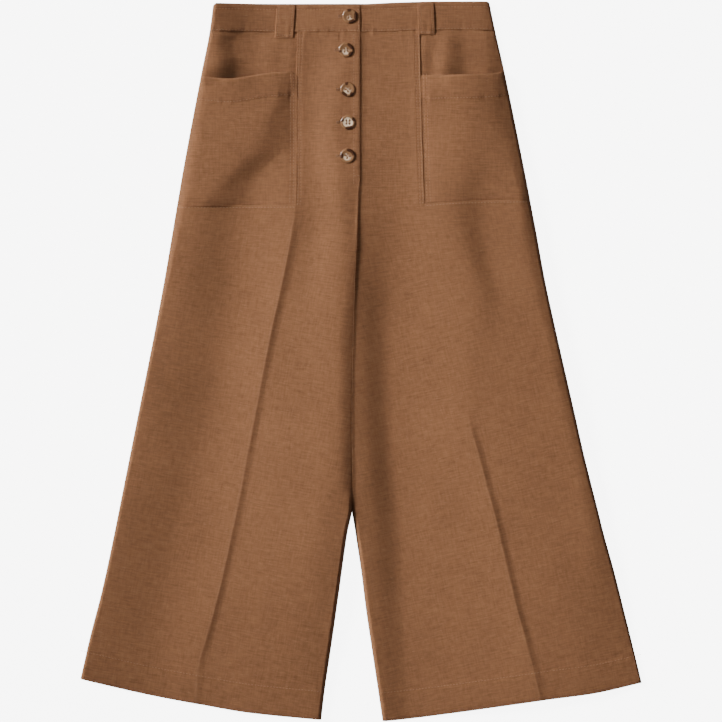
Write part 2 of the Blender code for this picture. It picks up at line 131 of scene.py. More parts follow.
# Stitching: its rows lie this far in from an edge or a seam
SEAM_ROWS = (2.2, 5.6)  # front seam
POCKET_ROWS = (3.5, 7.5)  # inner edge of a pocket
POCKET_HEM = 29.0
HIP_ROW = 2.5
HEM_ROW = 36.0
FLY_ROW = 8.0
BAND_TOP_ROW = 7.0
BAND_LOW_ROW = 2.0
LOOP_ROW = 3.2
LOOP_TACKS = (2.6, 3.4)  # lower end of a loop
STITCH = 3.0
STITCH_GAP = 0.9
THREAD = 0.28  # half the width of a stitch
THREAD_LIFT = 0.35  # how high the middle of a stitch is over the cloth, for a half width of 1
SEAM_DIP = 0.55  # how deep a seam draws the cloth in
STITCH_DIP = 0.3  # and a row of stitches
LAP_RISE = 0.45  # where an edge is folded under

SETTLING_ROUNDS = 6  # a point's depth and its x each depend on the other

Line = namedtuple("Line", "x depth")
# The front seam runs down to the pocket's lower edge, and the pressed crease goes on from it to the hem.
Section = namedtuple("Section", "depth side seam inner")
# The lie of the cloth: its height at the side seam, and the x and height of each ridge or dip from there to
# the inseam.
Lie = namedtuple("Lie", "depth side outer_x outer dip_x dip middle_x middle centre_x centre roll_x roll")
# The crease's height, and how far its slopes reach on either side.
Crease = namedtuple("Crease", "depth height left right")
# Width over which the front rolls down to the side seam.
Roll = namedtuple("Roll", "depth width")
# How far the mouth of a pocket stands open, and where.
Gape = namedtuple("Gape", "x half_width height")
# A short ridge, or a dip where its height is below 0, from one point to another.
Wrinkle = namedtuple("Wrinkle", "x depth to_x to_depth half_width height")
# lap is the height of the front seam's lap, and lean how far the crease moves sideways for 1 down.
Leg = namedtuple(
    "Leg", "name sections hip_line hem mouth gapes rolls creases hip_lie pocket_lie leg_lie wrinkles lap lean"
)
Loop = namedtuple("Loop", "name leg top_x low_x low_depth width")
# A button's turn, how cream its middle is, and the dark arcs on its rim.
Button = namedtuple("Button", "x depth turn cream arcs")
Arc = namedtuple("Arc", "degrees half_width share")
# A button's section, from the middle of its upper face over the rim to the middle of its lower face.
Turned = namedtuple("Turned", "radius_share height")

WAIST_TOP = [
    Line(-185, 5.2), Line(-180, 2.8), Line(-1, 3.2), Line(40, 1.6), Line(98, 0.2), Line(157, 0),
    Line(161, 1.6),
]
WAIST_SEAM = [Line(-190, 38.2), Line(-1, 38.4), Line(60, 37.2), Line(120, 36.0), Line(168, 36.6)]

RIGHT = Leg(
    name="right",
    sections=[
        Section(0, -184.5, -78.6, -0.9),
        Section(38, -189.5, -79.3, -0.9),
        Section(88, -199.4, -80.6, -0.9),
        Section(FLY_END, -224.6, -81.0, -0.9),
        Section(FLY_CLOSED, -226.4, -81.2, -3.3),
        Section(255, -230.2, -81.6, -4.2),
        Section(287, -235.6, -86.0, -5.3),
        Section(348, -246.0, -97.4, -8.3),
        Section(413, -258.2, -111.8, -10.3),
        Section(523, -280.2, -133.2, -12.0),
        Section(632, -302.0, -154.0, -10.8),
        Section(664, -308.4, -160.8, -16.8),
        Section(736, -323.9, -176.8, -27.0),
        Section(798, -339.8, -193.6, -35.8),
        Section(828, -346.6, -202.4, -40.3),
        Section(861, -354.2, -206.0, -45.2),
        Section(LENGTH, -363.0, -206.8, -49.8),
    ],
    hip_line=[Line(-231, 255.3), Line(-81, 255.0)],
    hem=[
        Line(-351, 846.8), Line(-321, 854.3), Line(-261, 868.2), Line(-201, 879.3), Line(-141, 889.3),
        Line(-49.5, 898.4),
    ],
    mouth=[
        Line(-206, 93.2), Line(-192, 94.8), Line(-166, 96.9), Line(-141, 93.8), Line(-122, 90.6),
        Line(-104, 88.6), Line(-89, 87.8), Line(-84, 89.2), Line(-79, 92.5),
    ],
    gapes=[Gape(-161, 37, 3.2)],
    rolls=[
        Roll(0, 4.0), Roll(92, 5.0), Roll(118, 14.0), Roll(215, 18.0), Roll(260, 13.0), Roll(330, 8.0),
        Roll(420, 4.4), Roll(LENGTH, 3.2),
    ],
    creases=[
        Crease(240, 0.0, 22, 14),
        Crease(268, 1.1, 24, 14),
        Crease(325, 2.2, 28, 12),
        Crease(395, 2.2, 32, 10),
        Crease(490, 1.7, 34, 9),
        Crease(620, 1.5, 36, 9),
        Crease(700, 1.8, 40, 9),
        Crease(780, 1.7, 40, 9),
        Crease(840, 0.8, 36, 9),
        Crease(LENGTH, 0.5, 36, 9),
    ],
    hip_lie=[
        Lie(0, 10.8, -178, 9.6, -130, 1.4, -96, 0.4, -50, 2.6, -11, 3.2),
        Lie(30, 9.6, -181, 9.2, -134, 1.4, -100, 0.4, -50, 3.4, -11, 4.2),
        Lie(52, 8.0, -183, 8.6, -154, 2.0, -130, 0.3, -58, 2.2, -14, 5.2),
        Lie(76, 6.0, -179, 8.4, -151, 1.8, -132, 0.3, -62, 1.6, -14, 6.2),
        Lie(104, 4.4, -180, 5.6, -146, 1.0, -104, 0.4, -62, 2.6, -22, 7.2),
        Lie(161, 3.0, -190, 3.4, -150, 0.6, -96, 0.4, -61, 3.2, -28, 8.0),
        Lie(222, 3.0, -200, 3.4, -150, 0.3, -90, 3.6, -60, 5.8, -22, 12.4),
        Lie(248, 4.2, -205, 4.6, -146, 0.3, -90, 5.2, -60, 6.6, -22, 13.0),
    ],
    pocket_lie=[
        Lie(90, 4.6, -112, 3.4, -88, 1.7, -74, 1.2, -62, 1.8, -22, 7.0),
        Lie(117, 4.6, -106, 4.6, -86, 1.6, -74, 1.6, -62, 2.6, -22, 7.3),
        Lie(136, 4.4, -114, 5.4, -86, 1.5, -74, 1.8, -62, 2.9, -24, 7.6),
        Lie(161, 4.4, -127, 6.2, -84, 1.6, -74, 2.2, -61, 3.2, -28, 8.0),
        Lie(186, 4.8, -139, 6.2, -89, 1.2, -76, 2.8, -61, 4.6, -27, 9.6),
        Lie(217, 5.2, -172, 6.2, -120, 0.3, -80, 4.6, -60, 6.2, -26, 12.0),
        Lie(248, 5.2, -196, 6.2, -138, 0.3, -84, 5.8, -60, 6.6, -22, 13.0),
    ],
    leg_lie=[
        Lie(280, 4.8, -214, 4.8, -156, 0.5, -88, 6.2, -62, 6.8, -20, 13.4),
        Lie(330, 4.6, -226, 4.8, -158, 0.3, -98, 6.4, -68, 8.2, -22, 14.8),
        Lie(436, 5.6, -240, 5.2, -170, 0.2, -119, 5.4, -78, 9.4, -23, 15.4),
        Lie(561, 6.6, -276, 6.6, -194, 0.3, -144, 4.6, -92, 9.4, -25, 15.2),
        Lie(698, 6.6, -305, 6.2, -236, 0.4, -170, 3.4, -108, 9.0, -52, 13.0),
        Lie(823, 6.4, -328, 5.2, -252, 0.7, -203, 1.6, -130, 4.2, -62, 6.2),
        Lie(LENGTH, 5.2, -340, 4.2, -264, 0.7, -208, 1.2, -140, 3.0, -68, 4.2),
    ],
    wrinkles=[
        Wrinkle(-19.2, 25, -19.2, 41, 3.0, -0.7),
        Wrinkle(-26, 40, -26.5, 52, 3.0, -0.8),
        Wrinkle(-113, 38, -112, 92, 17, 0.9),
    ],
    lap=0.55,
    lean=-0.195,
)
LEFT = Leg(
    name="left",
    sections=[
        Section(0, 160.3, 73.1, -2.9),
        Section(38, 168.3, 73.3, -2.9),
        Section(88, 179.6, 74.2, -2.9),
        Section(FLY_CLOSED, 208.9, 78.3, -2.9),
        Section(255, 213.0, 79.2, -3.7),
        Section(287, 219.1, 87.0, -4.9),
        Section(348, 230.2, 103.0, -7.3),
        Section(413, 244.3, 118.0, -8.9),
        Section(523, 269.3, 134.6, -11.5),
        Section(563, 278.2, 145.8, -11.4),
        Section(605, 288.6, 157.2, -11.3),
        Section(632, 295.5, 164.4, -11.2),
        Section(664, 303.4, 172.3, -7.1),
        Section(711, 316.4, 183.4, 0.0),
        Section(761, 329.0, 195.4, 6.2),
        Section(811, 341.4, 209.2, 13.7),
        Section(863, 353.8, 221.8, 21.5),
        Section(LENGTH, 362.6, 228.6, 27.0),
    ],
    hip_line=[Line(78, 253.6), Line(130, 250.3), Line(213, 248.4)],
    hem=[
        Line(27, 900.0), Line(51, 898.0), Line(111, 890.5), Line(231, 873.0), Line(291, 865.2),
        Line(351, 852.0),
    ],
    mouth=[Line(75, 93.0), Line(140, 92.2), Line(165, 90.6), Line(182, 87.8)],
    gapes=[Gape(86, 13, 1.3), Gape(120, 23, 1.8), Gape(171, 15, 1.3)],
    rolls=[Roll(0, 4.0), Roll(FLY_CLOSED, 4.0), Roll(LENGTH, 3.2)],
    creases=[
        Crease(508, 0.0, 40, 16),
        Crease(545, 1.6, 42, 9),
        Crease(610, 2.1, 48, 9),
        Crease(780, 2.0, 44, 9),
        Crease(830, 1.3, 38, 9),
        Crease(LENGTH, 0.7, 40, 9),
    ],
    hip_lie=[
        Lie(0, 1.6, 148, 3.2, 128, 3.2, 94, 4.2, 40, 2.9, 8, 2.0),
        Lie(30, 1.4, 150, 3.4, 128, 3.4, 104, 4.8, 40, 3.3, 8, 2.6),
        Lie(50, 1.2, 154, 4.2, 131, 3.6, 107, 6.0, 68, 5.0, 8, 3.5),
        Lie(76, 0.8, 158, 3.2, 132, 3.6, 106, 7.4, 66, 6.2, 8, 4.5),
        Lie(110, 2.2, 164, 4.4, 142, 6.0, 114, 10.4, 48, 6.4, 8, 5.5),
        Lie(161, 3.2, 178, 7.4, 156, 10.4, 126, 12.6, 50, 7.0, 8, 6.4),
        Lie(222, 6.4, 188, 10.8, 156, 11.4, 120, 14.0, 30, 8.2, 4, 9.6),
        Lie(248, 7.0, 196, 11.6, 156, 10.8, 117, 14.6, 30, 8.2, 2, 10.0),
    ],
    pocket_lie=[
        Lie(88, 3.4, 170, 6.8, 158, 9.4, 140, 11.6, 60, 5.4, 10, 5.0),
        Lie(112, 4.2, 172, 7.6, 160, 10.4, 139, 12.8, 62, 6.4, 10, 5.7),
        Lie(161, 5.0, 178, 8.8, 158, 11.8, 131, 13.6, 62, 7.0, 12, 6.2),
        Lie(205, 5.6, 186, 10.2, 156, 12.0, 124, 14.0, 58, 7.8, 12, 7.8),
        Lie(248, 7.4, 198, 12.0, 156, 11.2, 117, 14.6, 44, 8.4, 12, 9.4),
    ],
    leg_lie=[
        Lie(280, 8.6, 200, 12.8, 154, 11.0, 118, 15.0, 36, 7.0, -1, 10.8),
        Lie(311, 8.8, 204, 12.0, 158, 11.0, 128, 15.2, 38, 6.2, -2, 10.8),
        Lie(373, 9.4, 218, 12.2, 178, 11.8, 145, 14.4, 38, 4.2, -1, 10.4),
        Lie(436, 10.0, 234, 12.6, 192, 12.8, 144, 13.0, 38, 2.8, 2, 9.8),
        Lie(561, 9.8, 262, 12.0, 212, 12.0, 148, 10.2, 42, 1.6, 6, 9.2),
        Lie(698, 6.6, 290, 9.6, 240, 10.4, 188, 9.0, 54, 0.8, 15, 7.2),
        Lie(823, 1.4, 322, 3.0, 262, 7.0, 213, 8.0, 58, 0.7, 28, 4.2),
        Lie(LENGTH, 1.0, 332, 2.2, 284, 5.8, 232, 7.0, 62, 0.7, 38, 3.2),
    ],
    wrinkles=[Wrinkle(91, 34, 91, 102, 15, -1.4)],
    lap=0.45,
    lean=0.24,
)
LOOPS = [
    Loop("belt_loop_right", RIGHT, -93.4, -96.6, 45.6, 23.4),
    Loop("belt_loop_left", LEFT, 80.4, 82.4, 42.0, 20.8),
]
BUTTONS = [
    Button(-14.1, 18.8, 0.2, 0.7, [Arc(95, 40, 0.8), Arc(2, 56, 1.0), Arc(-70, 50, 1.0)]),
    Button(-18.7, 61.2, 0.1, 0.85, [Arc(40, 62, 1.0), Arc(-40, 40, 1.0), Arc(195, 20, 0.8)]),
    Button(-16.6, 110.6, 0.9, 0.85, [Arc(100, 30, 0.9), Arc(-125, 50, 1.0), Arc(-50, 30, 0.9)]),
    Button(-16.3, 151.6, 0.0, 1.4, [Arc(-80, 70, 0.8), Arc(25, 40, 0.7), Arc(160, 34, 0.7)]),
    Button(-16.7, 193.8, 0.6, 0.85, [Arc(50, 84, 1.0), Arc(180, 40, 1.0)]),
]
BUTTON_PROFILE = [
    Turned(0, 1.1), Turned(0.30, 1.1), Turned(0.50, 1.15), Turned(0.58, 1.25), Turned(0.68, 1.5),
    Turned(0.78, 1.65), Turned(0.88, 1.6), Turned(0.96, 1.3), Turned(1.0, 0.95), Turned(0.97, 0.6),
    Turned(0.88, 0.25), Turned(0.7, 0.0), Turned(0, 0.0),
]


def through(knots, values, at):
    """The value at each place on a smooth curve through the knots, which never passes beyond them."""
    at = np.asarray(at, float)
    shape = at.shape + np.shape(knots)[-1:]
    knots, values = np.broadcast_to(knots, shape).astype(float), np.broadcast_to(values, shape).astype(float)
    step = np.diff(knots)
    slope = np.diff(values) / step
    before, after = slope[..., :-1], slope[..., 1:]
    turns = before * after <= 0
    inner = np.where(turns, 0.0, 2 * before * after / np.where(turns, 1.0, before + after))
    tangents = np.concatenate([slope[..., :1], inner, slope[..., -1:]], axis=-1)
    at = np.clip(at, knots[..., 0], knots[..., -1])
    span = np.clip((knots <= at[..., None]).sum(-1) - 1, 0, step.shape[-1] - 1)[..., None]

    def pick(table, shift=0):
        return np.take_along_axis(table, span + shift, -1)[..., 0]

    width = pick(step)
    t = (at - pick(knots)) / width
    return (
        pick(values) * (1 + 2 * t) * (1 - t) ** 2
        + pick(tangents) * width * t * (1 - t) ** 2
        + pick(values, 1) * t * t * (3 - 2 * t)
        - pick(tangents, 1) * width * t * t * (1 - t)
    )


def along(table, key, column, at):
    """One named column of a table at each value of another."""
    return through([getattr(row, key) for row in table], [getattr(row, column) for row in table], at)


def level(line, x):
    """Depth of a line across the garment."""
    return along(line, "x", "depth", x)


def parallel(line, down=0.0):
    """A line across the garment moved down by a distance, as a function of x."""
    return lambda x: level(line, x) + down


def ease(t):
    """0 to 1 with a level start and end."""
    t = np.clip(t, 0.0, 1.0)
    return t * t * (3 - 2 * t)


def between(value, low, high):
    """0 up to one value and 1 from another, with a smooth rise."""
    return ease((value - low) / (high - low))


def within(value, start, full, fading, gone):
    """0 up to one value, 1 from the next to the third, and 0 again from the fourth."""
    return between(value, start, full) * (1 - between(value, fading, gone))


def hump(t):
    """A soft hump: 1 at 0, and 0 from -1 down and from 1 up."""
    return (1 - np.minimum(np.abs(t), 1.0) ** 2) ** 2


def higher(first, second, blend=0.8):
    """The higher of two heights, rounded where they cross."""
    return (first + second + np.sqrt((first - second) ** 2 + blend**2)) / 2


def roll(distance, width, power):
    """0 on an edge and 1 past the width of its roll, steepest at the edge."""
    return 1 - (1 - np.clip(distance / width, 0.0, 1.0)) ** power


def spread(*runs):
    """Places from (start, end, count) runs, one after another."""
    parts = [np.linspace(start, end, count, endpoint=False) for start, end, count in runs]
    return np.concatenate([*parts, [runs[-1][1]]])


def crowded(start, end, count, share=0.5):
    """Places between two ends, that crowd towards both of them."""
    even = np.linspace(0.0, 1.0, count + 1)
    bunched = (1 - np.cos(math.pi * even)) / 2
    return start + (end - start) * (even * (1 - share) + bunched * share)


def inwards(leg):
    """1 where x grows from the side seam to the inseam, and -1 where it falls."""
    return 1 if leg is RIGHT else -1


def edge(leg, column, depth):
    """x of an edge or seam. The two fronts touch from the end of the fly down to where the legs part."""
    x = along(leg.sections, "depth", column, depth)
    if leg is LEFT and column == "inner":
        touching = within(depth, *FRONTS_TOUCH)
        gap = SEAM_GAP * between(depth, *INSEAM_GAP)
        x = x + (along(RIGHT.sections, "depth", "inner", depth) + gap - x) * touching
    return x


def seam_x(leg, inset, depth):
    """x at a distance in from the front seam, or out from it where the distance is below 0."""
    return edge(leg, "seam", depth) + inset * inwards(leg)


# The lie of the cloth


def lie_height(leg, rows, x, depth):
    """Height of the cloth on a curve through the ridges and dips across it, rolled down at its edges."""
    side_height, *lines = [along(rows, "depth", column, depth) for column in Lie._fields[1:]]
    side, inner = edge(leg, "side", depth), edge(leg, "inner", depth)
    fall = between(depth, *EDGE_FALLS) * (1 - 0.6 * between(depth, *FALL_EASES))
    edge_lift = EDGE_LIFT + INSEAM_LIFT * within(depth, *INSEAM_LIFTS)
    inner_height = lines[-1] + (edge_lift if leg is LEFT else -EDGE_FALL * fall)
    knots = inwards(leg) * np.stack([side, *lines[0::2], inner], axis=-1)
    heights = np.stack([side_height, *lines[1::2], inner_height], axis=-1)
    height = through(knots, heights, inwards(leg) * x)
    left_edge = along(LEFT.hip_lie + LEFT.leg_lie, "depth", "roll", depth) + edge_lift + MEETING_LIFT
    touching = left_edge * (1 - between(depth, *EDGES_LEAVE))
    meeting = inner_height + (touching - inner_height) * between(depth, *EDGES_MEET)
    inner_share = roll(np.abs(x - inner), INNER_ROLL, 1.6)
    if leg is RIGHT:
        width = INSEAM_FALL * (0.6 + 0.4 * between(depth, *FALL_WIDENS))
        beside_left = within(depth, *BESIDE_LEFT)
        inner_share = inner_share + (roll(np.abs(x - inner), width, 2.0) - inner_share) * beside_left
    height = meeting + (height - meeting) * inner_share
    return height * roll(np.abs(x - side), along(leg.rolls, "depth", "width", depth), 2.2)


def crease_height(leg, x, depth):
    """The pressed crease: a long rise to a sharp line, then a short drop."""
    rows = leg.creases
    height, left, right = (along(rows, "depth", column, depth) for column in ("height", "left", "right"))
    offset = x - edge(leg, "seam", depth)
    t = np.minimum(np.abs(offset) / np.where(offset < 0, left, right), 1.0)
    return np.where(depth > rows[0].depth, height, 0.0) * (1 - t) ** 1.6


def wrinkled(wrinkles, x, depth):
    """Height of short ridges and dips, each highest at its middle."""
    height = np.zeros(np.shape(x))
    for wrinkle in wrinkles:
        run_x, run_depth = wrinkle.to_x - wrinkle.x, wrinkle.to_depth - wrinkle.depth
        length = math.hypot(run_x, run_depth)
        forwards = ((x - wrinkle.x) * run_x + (depth - wrinkle.depth) * run_depth) / length
        sideways = ((x - wrinkle.x) * run_depth - (depth - wrinkle.depth) * run_x) / length
        height += wrinkle.height * hump(sideways / wrinkle.half_width) * hump(2 * forwards / length - 1)
    return height


def unevenness(x, depth):
    """Slow waves that no laid cloth is without."""
    waves = (
        np.sin(x / 17.0 + depth / 41.0)
        + np.sin(x / 29.0 - depth / 23.0 + 1.3)
        + np.sin(x / 11.0 + depth / 67.0 + 2.1) * 0.7
        + np.sin(depth / 13.0 - x / 53.0 + 0.6) * 0.6
    )
    return UNEVENNESS * waves / 2


def base_height(leg, upper_lie, x, depth):
    """Upper face of the front before its seams and edges."""
    from_side, from_inner = (np.abs(x - edge(leg, column, depth)) for column in ("side", "inner"))
    away = np.minimum(from_side, from_inner)
    rough = unevenness(x, depth) * ease(away / 25) + wrinkled(leg.wrinkles, x, depth) * ease(away / 8)
    height = lie_height(leg, upper_lie + leg.leg_lie, x, depth) + crease_height(leg, x, depth) + rough
    at_inner = (1 - ease(from_inner / 1.6)) * between(depth, LEGS_PART, LEGS_PART + 14)
    on_back = np.maximum(1 - ease(from_side / 1.6), at_inner)
    return FRONT_REST + np.maximum(height, 0.0) - SEAM_REST * on_back


def stitch_dip(distance):
    """How a row of stitches draws the cloth in, at a distance from it."""
    return -STITCH_DIP * hump(distance / 2.0)


def seam_dip(distance):
    """How a seam draws the cloth in."""
    return -SEAM_DIP * hump(distance / 3.0)


def folded_edge(distance, width):
    """A folded edge, stitched down at its width: it stands higher up to there."""
    return LAP_RISE * (1 - ease((distance - width) / 3.0)) + stitch_dip(distance - width)


def pucker(distance, run):
    """Small waves that the stitching draws the cloth into."""
    return PUCKER * hump(distance / 9.0) * (np.sin(run / 1.9) + 0.7 * np.sin(run / 1.13 + 1.0))


def hem_fold(leg, x, depth):
    """The hem is folded up and stitched, and its lower edge is round."""
    above_edge = level(leg.hem, x) - depth
    above_row = above_edge - HEM_ROW
    fold = FOLD_RISE * (1 - ease(above_row / 3.0)) + stitch_dip(above_row)
    return fold - HEM_ROUND * (1 - ease(above_edge / 4.0)) + pucker(above_row, x)


def front_face(leg, x, depth):
    """Upper face of the front leg panel."""
    past_seam = (x - edge(leg, "seam", depth)) * inwards(leg)
    below_hip = depth - level(leg.hip_line, x)
    below_waist = depth - level(WAIST_SEAM, x)
    lap = leg.lap * (1 - between(past_seam, 5, 17)) + sum(stitch_dip(past_seam - row) for row in SEAM_ROWS)
    lap = lap * (1 - between(below_hip, -6, 2)) * (past_seam > -1)
    shelf = folded_edge(below_hip, HIP_ROW) * (past_seam < 0)
    top = 1.5 * seam_dip(below_waist) + pucker(below_waist, x)
    fly = 0.0
    if leg is RIGHT:
        from_edge = FLY_EDGE_X - x
        fly = folded_edge(from_edge, FLY_ROW) - 0.5 * hump(from_edge / 2.5)
        fly = fly * (1 - between(depth, *LAP_ENDS))
    return base_height(leg, leg.hip_lie, x, depth) + lap + shelf + top + fly + hem_fold(leg, x, depth)


def open_by(leg, x, wider=1.0):
    """How far the pocket's mouth stands open at x."""
    return sum(gape.height * hump((x - gape.x) / (wider * gape.half_width)) for gape in leg.gapes)


def hip_face(leg, x, depth):
    """Upper face of the hip panel, which goes under the centre front at the front seam."""
    under = 0.5 * (1 - ease(np.abs(x - edge(leg, "seam", depth)) / 8.0))
    behind = open_by(leg, x, 1.1) * hump((depth - level(leg.mouth, x)) / 26)
    surface = base_height(leg, leg.hip_lie, x, depth) - under + 1.5 * seam_dip(depth - level(WAIST_SEAM, x))
    return FRONT_REST + np.maximum(surface - behind - FRONT_REST, -PANEL_SINKS)


def pocket_face(leg, x, depth):
    """Upper face of a pocket, which is caught in the side seam and in the seam below it."""
    below_mouth = depth - level(leg.mouth, x)
    below_row = below_mouth - POCKET_HEM
    from_seam = (edge(leg, "seam", depth) - x) * inwards(leg)
    above_low = level(leg.hip_line, x) - depth
    on_panel = higher(base_height(leg, leg.pocket_lie, x, depth), hip_face(leg, x, depth))
    gape = POCKET_GAPE * open_by(leg, x) * (1 - ease(below_mouth / GAPE_REACH))
    near_mouth = 1 - between(below_mouth, 8, 48)
    stands = 0.6 * ease(from_seam / 16.0) + 0.5 * near_mouth * ease((from_seam - 2.0) / 2.4)
    stands = POCKET_STANDS * stands * ease(above_low / 12.0)
    hem = FOLD_RISE * (1 - ease(below_row / 2.5)) + stitch_dip(below_row)
    sewn = sum(stitch_dip(from_seam - row) for row in POCKET_ROWS)
    rounded = -0.5 * hump(below_mouth / 2.5) + seam_dip(above_low)
    small = pucker(from_seam - sum(POCKET_ROWS) / 2, depth) + pucker(below_row, x)
    off_side = ease(np.abs(x - edge(leg, "side", depth)) / 4.0)
    return on_panel + (stands + gape + hem) * off_side + sewn + rounded + small


def band_face(leg, x, depth):
    """Upper face of the front waistband. The left half goes down under the lap."""
    under_lap = np.maximum(x, edge(leg, "inner", 0)) if leg is LEFT else x
    tucked = BAND_TUCK * ease((3 - x) / 8) if leg is LEFT else 0.0
    from_top = depth - level(WAIST_TOP, x)
    above_seam = level(WAIST_SEAM, x) - depth
    above_row = above_seam - BAND_LOW_ROW
    stitched = stitch_dip(from_top - BAND_TOP_ROW) + stitch_dip(above_row) + pucker(above_row, x)
    rounded = -0.5 * hump(from_top / 3.0) - 0.4 * hump(above_seam / 1.5)
    return base_height(leg, leg.hip_lie, under_lap, depth) + BAND_RISE - tucked + stitched + rounded


def flat_face(top, x, depth):
    """Upper face of a layer that lies flat. It takes a depth as the other faces do."""
    return np.full(np.shape(x), top)


# Materials


class Value:
    """A number that a material's nodes work out. Arithmetic on it adds Math nodes."""

    def __init__(self, finish, socket):
        self.finish = finish
        self.socket = socket

    def math(self, operation, *others):
        return self.finish.add("ShaderNodeMath", {"operation": operation}, dict(enumerate((self, *others))))

    def __add__(self, other):
        return self.math("ADD", other)

    def __mul__(self, other):
        return self.math("MULTIPLY", other)

    def __sub__(self, other):
        return self.math("SUBTRACT", other)

    def __rsub__(self, other):
        return self.finish.add("ShaderNodeMath", {"operation": "SUBTRACT"}, {0: other, 1: self})

    def __truediv__(self, other):
        return self.math("DIVIDE", other)

    __radd__ = __add__
    __rmul__ = __mul__

    def between(self, low, high):
        """0 up to one value and 1 from another, with a smooth rise."""
        settings = {"interpolation_type": "SMOOTHSTEP"}
        inputs = {"Value": self, "From Min": low, "From Max": high}
        return self.finish.add("ShaderNodeMapRange", settings, inputs)


class Finish:
    """A material, made node by node."""

    def __init__(self, name, **constants):
        self.material = bpy.data.materials.new(name)
        self.material.use_nodes = True
        self.tree = self.material.node_tree
        self.shader = self.tree.nodes["Principled BSDF"]
        for socket, value in constants.items():
            self.shader.inputs[socket.replace("_", " ")].default_value = value

    def add(self, kind, settings=None, inputs=None, output=0):
        """One output of a new node, from its kind, its settings and the values or links of its sockets."""
        node = self.tree.nodes.new(kind)
        for name, setting in (settings or {}).items():
            setattr(node, name, setting)
        for name, value in (inputs or {}).items():
            self.feed(node.inputs[name], value)
        return Value(self, node.outputs[output])

    def feed(self, socket, value):
        """Gives a socket a value, or links it to one that other nodes work out."""
        if isinstance(value, Value):
            self.tree.links.new(value.socket, socket)
        else:
            socket.default_value = value

    def shade(self, **sockets):
        """Feeds the surface's own sockets."""
        for socket, value in sockets.items():
            self.feed(self.shader.inputs[socket.replace("_", " ")], value)

    def place(self):
        """x and depth on the cloth in millimetres."""
        where = self.add("ShaderNodeTexCoord", output="Object")
        x, y = (self.add("ShaderNodeSeparateXYZ", inputs={0: where}, output=axis) for axis in "XY")
        return x / MM, LENGTH / 2 - y / MM

    def painted(self, name):
        """The number that each point of the piece carries under a name."""
        return self.add("ShaderNodeAttribute", {"attribute_name": name}, output="Fac")

    def noise(self, across, down, seed, detail=2.0, roughness=0.5):
        """Uneven numbers round 0.5, in spots that are about 1 wide and 1 deep."""
        where = self.add("ShaderNodeCombineXYZ", inputs={0: across, 1: down, 2: seed})
        inputs = {"Vector": where, "Scale": 1.0, "Detail": detail, "Roughness": roughness}
        return self.add("ShaderNodeTexNoise", inputs=inputs)

    def mix(self, first, second, share):
        """A colour between two others."""
        return self.add("ShaderNodeMix", {"data_type": "RGBA"}, {0: share, 6: first, 7: second}, output=2)

    def bump(self, height, distance):
        """Relief of a height from 0 to 1, whose whole rise is a distance in millimetres."""
        inputs = {"Height": height, "Distance": distance * MM, "Strength": 1.0}
        return self.add("ShaderNodeBump", inputs=inputs)


def rgb(red, green, blue):
    return (red, green, blue, 1.0)


LINEN_DARK = rgb(0.160, 0.070, 0.031)
LINEN_LIGHT = rgb(0.360, 0.165, 0.079)
LINEN_FLECK = rgb(0.46, 0.24, 0.13)
LINEN_WORN = rgb(0.40, 0.20, 0.105)
LINEN_PAINTED_SHADE = rgb(0.085, 0.036, 0.015)  # painted shade behind the pocket mouths, where the hip panel dips in
THREAD_DARK = (0.33, 0.158, 0.080)
THREAD_LIGHT = (0.50, 0.265, 0.150)
RESIN_TAN = rgb(0.27, 0.135, 0.062)
RESIN_CREAM = rgb(0.86, 0.66, 0.47)
RESIN_BLACK = rgb(0.025, 0.006, 0.002)
RESIN_BROWN = rgb(0.11, 0.038, 0.013)
FLOOR_GREY = rgb(0.90, 0.90, 0.90)
FLOOR_WHITE = rgb(0.93, 0.93, 0.93)
YARN_PITCH = 0.85  # between neighbouring yarns of the weave
GRAIN_TURNS = 255.0  # depth below which the cloth follows the leg


